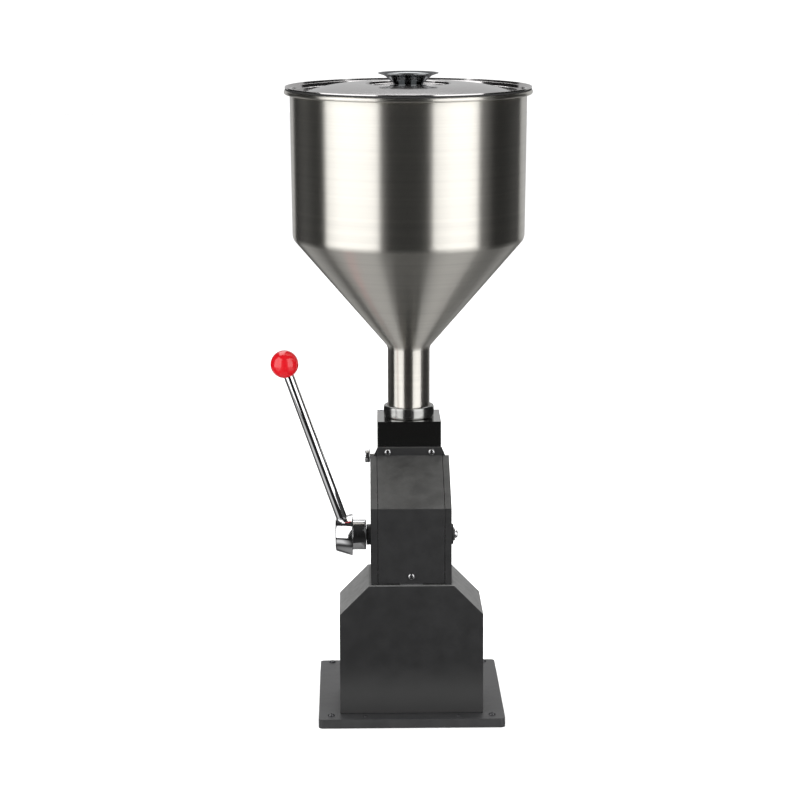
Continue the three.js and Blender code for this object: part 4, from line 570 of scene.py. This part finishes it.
def union_nut():
    """A round nut with spanner notches, one of which faces the rear."""
    outline = [
        (23.6, 326.0, 0.4), (23.6, 324.0, 0.2), (25.2, 324.0, 0.0), (25.2, 313.0, 0.4), (NUT_RADIUS, 313.0, 1.4),
        (NUT_RADIUS, NOTCH_LOW, 0.0), (NUT_RADIUS, NOTCH_HIGH, 0.0), (NUT_RADIUS, 326.0, 2.0),
    ]
    bm = spun(outline, NUT_STEPS, closed=True)
    walls = []
    for face in bm.faces:
        middle = face.calc_center_median()
        off = off_middle(math.atan2(middle.x, -middle.y), NOTCH_COUNT)
        outer = math.hypot(middle.x, middle.y) > (NUT_RADIUS - NUT_WALL_BAND) * MM
        if outer and off < NOTCH_HALF_TURN and NOTCH_LOW * MM < middle.z < NOTCH_HIGH * MM:
            walls.append(face)
    share = NOTCH_FLOOR / NUT_RADIUS
    bmesh.ops.scale(bm, vec=(share, share, 1.0), verts=sunk(bm, walls))
    bmesh.ops.recalc_face_normals(bm, faces=bm.faces[:])
    piece("hopper_union_nut", bm, "hopper_nut", nut_steel, ["union_nut"])


# Lever

SHAFT_Y = -75.0
SHAFT_Z = 197.1
SHAFT_MIDDLE = (0.0, SHAFT_Y, SHAFT_Z)
ROD_LEAN = math.radians(19.56)
ROD_ROOT = (-67.7, SHAFT_Y, SHAFT_Z)
BALL_REACH = 199.0
BALL_RADIUS = 15.0
BALL_FLAT = 1.2
BALL_BORE = 3.6
BALL_BORE_END = 201.2
BALL_STEPS = 48


def lever():
    """Hub, rod and ball, which turn together on the shaft."""
    hub = [
        (0.0, 77.2, 0.0), (6.05, 77.2, 0.0), (6.05, 47.8, 0.4), (16.4, 47.8, 0.8), (16.4, 62.4, 0.6),
        (23.1, 62.4, 1.2), (17.4, 81.2, 2.0), (0.0, 81.2, 0.0),
    ]
    piece("lever_hub_cone", placed(spun(hub, MEDIUM_STEPS), SHAFT_MIDDLE, TO_LEFT), "lever", chrome, ["lever_hub"])

    lean = Matrix.Rotation(-ROD_LEAN, 4, "Y")
    rod = [
        (0.0, 12.2, 0.0), (3.9, 12.2, 0.4), (3.9, 20.3, 0.0), (6.0, 20.3, 0.5), (5.6, 185.2, 0.3),
        (3.5, 185.2, 0.0), (3.5, 200.5, 0.4), (0.0, 200.5, 0.0),
    ]
    piece("lever_rod_bar", placed(spun(rod, SMALL_STEPS), ROD_ROOT, lean), "lever", chrome, ["lever_rod"])

    flat = BALL_RADIUS - BALL_FLAT
    ball = [(0.0, BALL_BORE_END, 0.0), (BALL_BORE, BALL_BORE_END, 0.0), (BALL_BORE, BALL_REACH - flat, 0.0)]
    foot = math.acos(flat / BALL_RADIUS)
    for step in range(BALL_STEPS):
        angle = foot + (math.pi - foot) * step / BALL_STEPS
        ball.append((BALL_RADIUS * math.sin(angle), BALL_REACH - BALL_RADIUS * math.cos(angle), 0.0))
    ball.append((0.0, BALL_REACH + BALL_RADIUS, 0.0))
    piece("lever_ball", placed(spun(ball, MEDIUM_STEPS), ROD_ROOT, lean), "lever", ball_plastic, ["ball_knob"])


def bushes():
    """Black flanged bushes on both sides, and the washer on the shaft's right end."""
    for side, turn, end in (("left", TO_LEFT, 47.5), ("right", TO_RIGHT, 46.3)):
        bush = [
            (6.12, 38.0, 0.3), (8.3, 38.0, 0.3), (8.3, 43.05, 0.0), (11.2, 43.05, 0.3),
            (11.2, end, 0.7), (6.12, end, 0.5),
        ]
        shape = placed(spun(bush, MEDIUM_STEPS, closed=True), SHAFT_MIDDLE, turn)
        piece(f"shaft_bush_rear_{side}", shape, "frame", black_plastic, [f"shaft_bush_{side}"])
    washer = [(2.7, 46.6, 0.2), (7.3, 46.6, 0.3), (7.3, 48.2, 0.3), (2.7, 48.2, 0.2)]
    shape = placed(spun(washer, SMALL_STEPS, closed=True), SHAFT_MIDDLE, TO_RIGHT)
    piece("shaft_washer", shape, "lever", screw_chrome, ["end_washer"])


# Screws: each size is the head's radius and height, and the shank's radius

COVER_SIZE = (3.8, 2.6, 2.0)
PLATE_SIZE = (3.7, 2.0, 2.5)
BOX_SIZE = (2.2, 1.2, 1.4)
END_SIZE = (4.6, 3.1, 2.5)

# The head's brow and crown: shares of its radius, of its height, and of its height again for the rounding
HEAD_SHAPE = ((1.0, 0.35, 0.5), (0.72, 0.94, 0.2))
CROSS_HALF_WIDTH = 0.42 / 3.8
CROSS_REACH = 0.5
CROSS_TAPER = 0.75
PLATE_TOP = 9.9


def cross_screw(name, node, seat, turn, size, length, body="frame", depth=1.2, material=screw_chrome):
    """A pan-head screw with a cross recess. Its axis is Z before the turn, and seat is where the head rests."""
    head, height, shank = size
    outline = [
        (0.0, -length, 0.0), (shank, -length, 0.3), (shank, 0.0, 0.0), (head, 0.0, 0.25),
        *((head * out, height * up, height * rounding) for out, up, rounding in HEAD_SHAPE), (0.0, height, 0.0),
    ]
    bm = spun(outline, SMALL_STEPS)
    half, reach = head * CROSS_HALF_WIDTH, head * CROSS_REACH
    for across in (Vector((1.0, 0.0, 0.0)), Vector((0.0, 1.0, 0.0))):
        for offset in (-reach, -half, half, reach):
            bmesh.ops.bisect_plane(
                bm,
                geom=bm.verts[:] + bm.edges[:] + bm.faces[:],
                plane_co=across * offset * MM,
                plane_no=across,
                dist=WELD,
            )
    slots = []
    for face in bm.faces:
        middle = face.calc_center_median() / MM
        near, far = sorted((abs(middle.x), abs(middle.y)))
        if middle.z > height / 2 and near < half and far < reach:
            slots.append(face)
    floor = sunk(bm, slots)
    bmesh.ops.translate(bm, vec=(0.0, 0.0, -depth * MM), verts=floor)
    bmesh.ops.scale(bm, vec=(CROSS_TAPER, CROSS_TAPER, 1.0), verts=floor)
    bmesh.ops.recalc_face_normals(bm, faces=bm.faces[:])
    piece(name, placed(bm, seat, turn), body, material, [node])


def screws():
    """Every screw with a cross recess that shows."""
    for side, x in (("left", -23.9), ("right", 23.9)):
        name, node = f"cover_screw_head_{side}", f"cover_screw_{side}"
        cross_screw(name, node, (x, -38.0, 279.9), TO_REAR, COVER_SIZE, 11.0)
    cross_screw("cover_screw_head_foot", "cover_screw_foot", (0.0, -118.6, 161.3), TO_REAR, COVER_SIZE, 8.0)
    for side, x in (("left", -86.5), ("right", 86.5)):
        for end, y in (("rear", -127.5), ("front", 71.4)):
            name, node = f"plate_screw_head_{end}_{side}", f"plate_screw_{end}_{side}"
            cross_screw(name, node, (x, y, PLATE_TOP), UP, PLATE_SIZE, 7.7, material=black_screws)
    for side, x in (("left", -50.0), ("right", 50.0)):
        name, node = f"box_screw_head_{side}", f"box_screw_{side}"
        cross_screw(name, node, (x, -131.95, PLATE_TOP), UP, BOX_SIZE, 7.7, depth=0.6, material=black_screws)
    cross_screw("shaft_end_screw", "end_screw", (48.2, SHAFT_Y, SHAFT_Z), TO_RIGHT, END_SIZE, 15.0, body="lever")


def thumb_screw():
    """The small round-headed screw on the block's left side."""
    outline = [
        (0.0, 15.0, 0.0), (2.4, 15.0, 0.4), (2.4, 34.8, 0.0), (5.0, 34.8, 0.3), (5.0, 37.8, 0.4), (3.0, 37.8, 0.0),
        (3.0, 42.9, 0.0), (7.6, 42.9, 1.0), (7.6, 48.5, 1.2), (4.0, 48.5, 0.6), (3.4, 47.6, 0.3), (0.0, 47.6, 0.0),
    ]
    shape = placed(spun(outline, SMALL_STEPS), (0.0, 0.0, 268.0), TO_LEFT)
    piece("seat_thumb_screw", shape, "seat_screw", screw_chrome, ["thumb_screw"])


# Spout and dose stop, under the block, and the springs inside it

SPOUT_FOOT = (0.0, 12.0, 0.0)
DOSE_AXIS = (18.0, 0.0, 173.1)
GRIP_COUNT = 12
GRIP_STEPS = 12 * GRIP_COUNT
GRIP_BAND = 1.0
FLUTE_DEPTH = 0.8


def fluted(bm, flute, radius, low, high):
    """Hollows round grip flutes into the wall of a turned shape, between two heights."""
    for vert in bm.verts:
        reach = math.hypot(vert.co.x, vert.co.y) / MM
        if reach > radius - GRIP_BAND and low < vert.co.z / MM < high:
            off = off_middle(math.atan2(vert.co.y, vert.co.x), GRIP_COUNT) * radius
            if off < flute:
                share = (reach - math.sqrt(flute * flute - off * off) * FLUTE_DEPTH) / reach
                bmesh.ops.scale(bm, vec=(share, share, 1.0), verts=[vert])
    return bm


def spout():
    """The outlet nozzle and the round nut that holds it."""
    nozzle = [
        (9.5, 184.8, 0.2), (9.5, 161.8, 0.4), (5.0, 161.8, 0.4), (5.0, 145.3, 0.4), (7.0, 145.3, 0.8),
        (7.0, 149.3, 2.0), (11.5, 158.3, 2.0), (11.5, 181.3, 0.2), (13.7, 181.3, 0.3), (13.7, 184.8, 0.3),
    ]
    shape = placed(spun(nozzle, MEDIUM_STEPS, closed=True), SPOUT_FOOT)
    piece("spout_nozzle", shape, "frame", nut_steel, ["nozzle"])
    grip_nut = [
        (11.9, 178.0, 0.3), (17.9, 178.0, 1.0), (17.9, 180.4, 0.0), (17.9, 191.6, 0.0), (17.9, 194.0, 1.0),
        (14.15, 194.0, 0.3), (14.15, 181.0, 0.0), (11.9, 181.0, 0.2),
    ]
    shape = fluted(spun(grip_nut, GRIP_STEPS, closed=True), flute=1.6, radius=17.9, low=179.0, high=193.0)
    piece("spout_grip_nut", placed(shape, SPOUT_FOOT), "spout_nut", nut_steel, ["nozzle_nut"])


def dose_stop():
    """The fluted knob of the dose screw and the flanged bush behind it."""
    knob = [
        (0.0, 14.7, 0.0), (9.0, 14.7, 0.9), (9.0, 16.4, 0.0), (9.0, 25.0, 0.0), (9.0, 26.7, 0.9),
        (3.05, 26.7, 0.2), (3.05, 17.0, 0.0), (0.0, 17.0, 0.0),
    ]
    shape = fluted(spun(knob, GRIP_STEPS), flute=1.2, radius=9.0, low=15.4, high=26.0)
    piece("dose_grip_knob", placed(shape, DOSE_AXIS, TO_REAR), "dose_adjuster", black_plastic, ["dose_knob"])
    bush = [
        (3.15, 32.5, 0.2), (8.0, 32.5, 0.4), (8.0, 34.5, 0.2), (6.0, 34.5, 0.0), (6.0, 48.5, 0.4),
        (3.15, 48.5, 0.2),
    ]
    shape = placed(spun(bush, SMALL_STEPS, closed=True), DOSE_AXIS, TO_REAR)
    piece("dose_guide_bush", shape, "frame", nut_steel, ["dose_bush"])


def valve_springs():
    """A copy of each valve's spring, with a mesh of its own; the real spring is pressed shorter as its poppet opens.
    """
    for valve in ("inlet", "outlet"):
        node = valve + "_spring"
        coil = piece(valve + "_valve_spring", cad_copy(node), "frame", machined_steel, [node])
        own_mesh(coil)


# Plate, boxes and block

def housings():
    """Base plate, lower box, column, rear cover and valve block, with small radii on their edges and bends."""
    for name, node, width, material in (
        ("base_slab", "base_plate", 0.6, plate_coat),
        ("lower_box_shell", "lower_box", 0.8, box_coat),
        ("column_shell", "column_housing", 0.6, powder_coat),
        ("rear_cover_sheet", "rear_cover", 0.5, powder_coat),
        ("valve_body", "valve_block", 0.4, block_steel),
    ):
        flat_faced = piece(name, edged(node, width), "frame", material, [node])
        shading = flat_faced.modifiers.new("even_shading", "WEIGHTED_NORMAL")
        shading.keep_sharp = True


dress_cad_nodes()
for make in (
    hopper, lid, union_nut, lever, bushes, screws, thumb_screw, spout, dose_stop, valve_springs, housings,
):
    make()
photo_camera()


# Stage and lights, in metres and watts

FLOOR_SIZE = 8.0
FLOOR_PARTS = 8
FLOOR_DROP = 0.0002
PAPER_TONE = (0.93, 0.93, 0.93)
PAPER_TONES = ((0.92, 0.92, 0.92), (0.94, 0.94, 0.94))

# Name, place, target, width, height and power
SOFT_BOXES = (
    ("left_box", (-1.018, -0.643, 0.92), (0.0, 0.0, 0.92), 1.34, 1.8, 15.2),
    ("right_box", (0.846, -0.852, 0.92), (0.0, 0.0, 0.92), 1.04, 1.8, 12.0),
    ("rear_wall", (0.35, 2.0, 1.09), (0.35, 0.0, 1.09), 3.1, 2.15, 10.9),
    ("top_box", (0.0, 1.15, 2.3), (0.0, 0.9, 0.0), 2.4, 2.2, 44.0),
    ("floor_card", (0.40, 0.24, 0.001), (0.40, 0.24, 1.0), 0.30, 0.30, 0.07),
)

# What the metal reflects between the soft boxes: a dark room shaded by height or, where that is lighter, a pale floor
# shaded by heading and by height. Heading runs from -1 at the front to 1 at the rear, and height from -1 straight
# down to 1 straight up.
SURROUND_SHADES = ((-1.0, 0.3), (-0.92, 0.24), (-0.82, 0.03), (0.0, 0.01), (0.3, 0.012), (1.0, 0.03))
FLOOR_SHADES = (
    (-1.0, 0.6), (-0.8, 0.45), (-0.5, 0.05), (-0.05, 0.03), (0.15, 0.6), (0.75, 0.75), (0.88, 0.04), (1.0, 0.0),
)
FLOOR_DEPTHS = ((-1.0, 0.0), (-0.75, 0.1), (-0.58, 1.0), (-0.4, 1.0), (-0.27, 0.0), (1.0, 0.0))
REARWARD = (0.06, -0.998, 0.0)
SURROUND_TONE = (1.0, 1.0, 1.0)
SURROUND_STRENGTH = 1.15


def lay_floor():
    """A pale paper floor just under the base."""
    bm = bmesh.new()
    bmesh.ops.create_grid(bm, x_segments=FLOOR_PARTS, y_segments=FLOOR_PARTS, size=FLOOR_SIZE)
    bmesh.ops.translate(bm, verts=bm.verts[:], vec=(0.0, 0.0, -FLOOR_DROP))
    mesh = bpy.data.meshes.new("studio_floor")
    bm.to_mesh(mesh)
    bm.free()
    floor = bpy.data.objects.new("studio_floor", mesh)
    bpy.context.scene.collection.objects.link(floor)
    paper = finish("floor_paper", PAPER_TONE, 0.0, 0.9)
    vary_colour(paper, surface_noise(paper, scale=3.0), PAPER_TONES)
    mesh.materials.append(paper)
    floor.visible_glossy = False


def soft_box(name, place, target, width, height, power):
    """A soft studio light that points at its target."""
    data = bpy.data.lights.new(name, "AREA")
    data.shape = "RECTANGLE"
    data.size = width
    data.size_y = height
    data.energy = power
    light = bpy.data.objects.new(name, data)
    bpy.context.scene.collection.objects.link(light)
    aim = Vector(target) - Vector(place)
    light.matrix_world = Matrix.Translation(place) @ aim.to_track_quat("-Z", "Y").to_matrix().to_4x4()
    light.visible_camera = False


def shade(tree, value, shades):
    """A grey that runs through the shades as the value goes from -1 to 1."""
    stops = [((place + 1.0) / 2.0, (tone, tone, tone)) for place, tone in shades]
    return ramp_over(tree, spread_over(tree, value, -1.0, 1.0), stops)


def surround():
    """A white room to the eye, which reflections see as a dark one with a pale floor."""
    world = bpy.data.worlds.new("studio_surround")
    bpy.context.scene.world = world
    world.use_nodes = True
    tree = world.node_tree
    seen = tree.nodes["Background"]
    seen.inputs["Color"].default_value = (*SURROUND_TONE, 1.0)
    seen.inputs["Strength"].default_value = SURROUND_STRENGTH
    axes = coordinates(tree, "Generated")
    heading = flat_part(tree, axes, "NORMALIZE")
    ahead = tree.nodes.new("ShaderNodeVectorMath")
    ahead.operation = "DOT_PRODUCT"
    ahead.inputs[1].default_value = REARWARD
    tree.links.new(heading.outputs["Vector"], ahead.inputs[0])
    floor_shade = shade(tree, ahead.outputs["Value"], FLOOR_SHADES)
    floor_seen = reckoned(tree, "MULTIPLY", floor_shade, shade(tree, axes["Z"], FLOOR_DEPTHS))
    reflected = tree.nodes.new("ShaderNodeBackground")
    lightest = reckoned(tree, "MAXIMUM", shade(tree, axes["Z"], SURROUND_SHADES), floor_seen)
    tree.links.new(lightest, reflected.inputs["Color"])
    path = tree.nodes.new("ShaderNodeLightPath")
    mix = tree.nodes.new("ShaderNodeMixShader")
    tree.links.new(path.outputs["Is Glossy Ray"], mix.inputs["Fac"])
    tree.links.new(seen.outputs["Background"], mix.inputs[1])
    tree.links.new(reflected.outputs["Background"], mix.inputs[2])
    tree.links.new(mix.outputs["Shader"], tree.nodes["World Output"].inputs["Surface"])


lay_floor()
for box in SOFT_BOXES:
    soft_box(*box)
surround()
bpy.context.scene.view_settings.view_transform = "Standard"
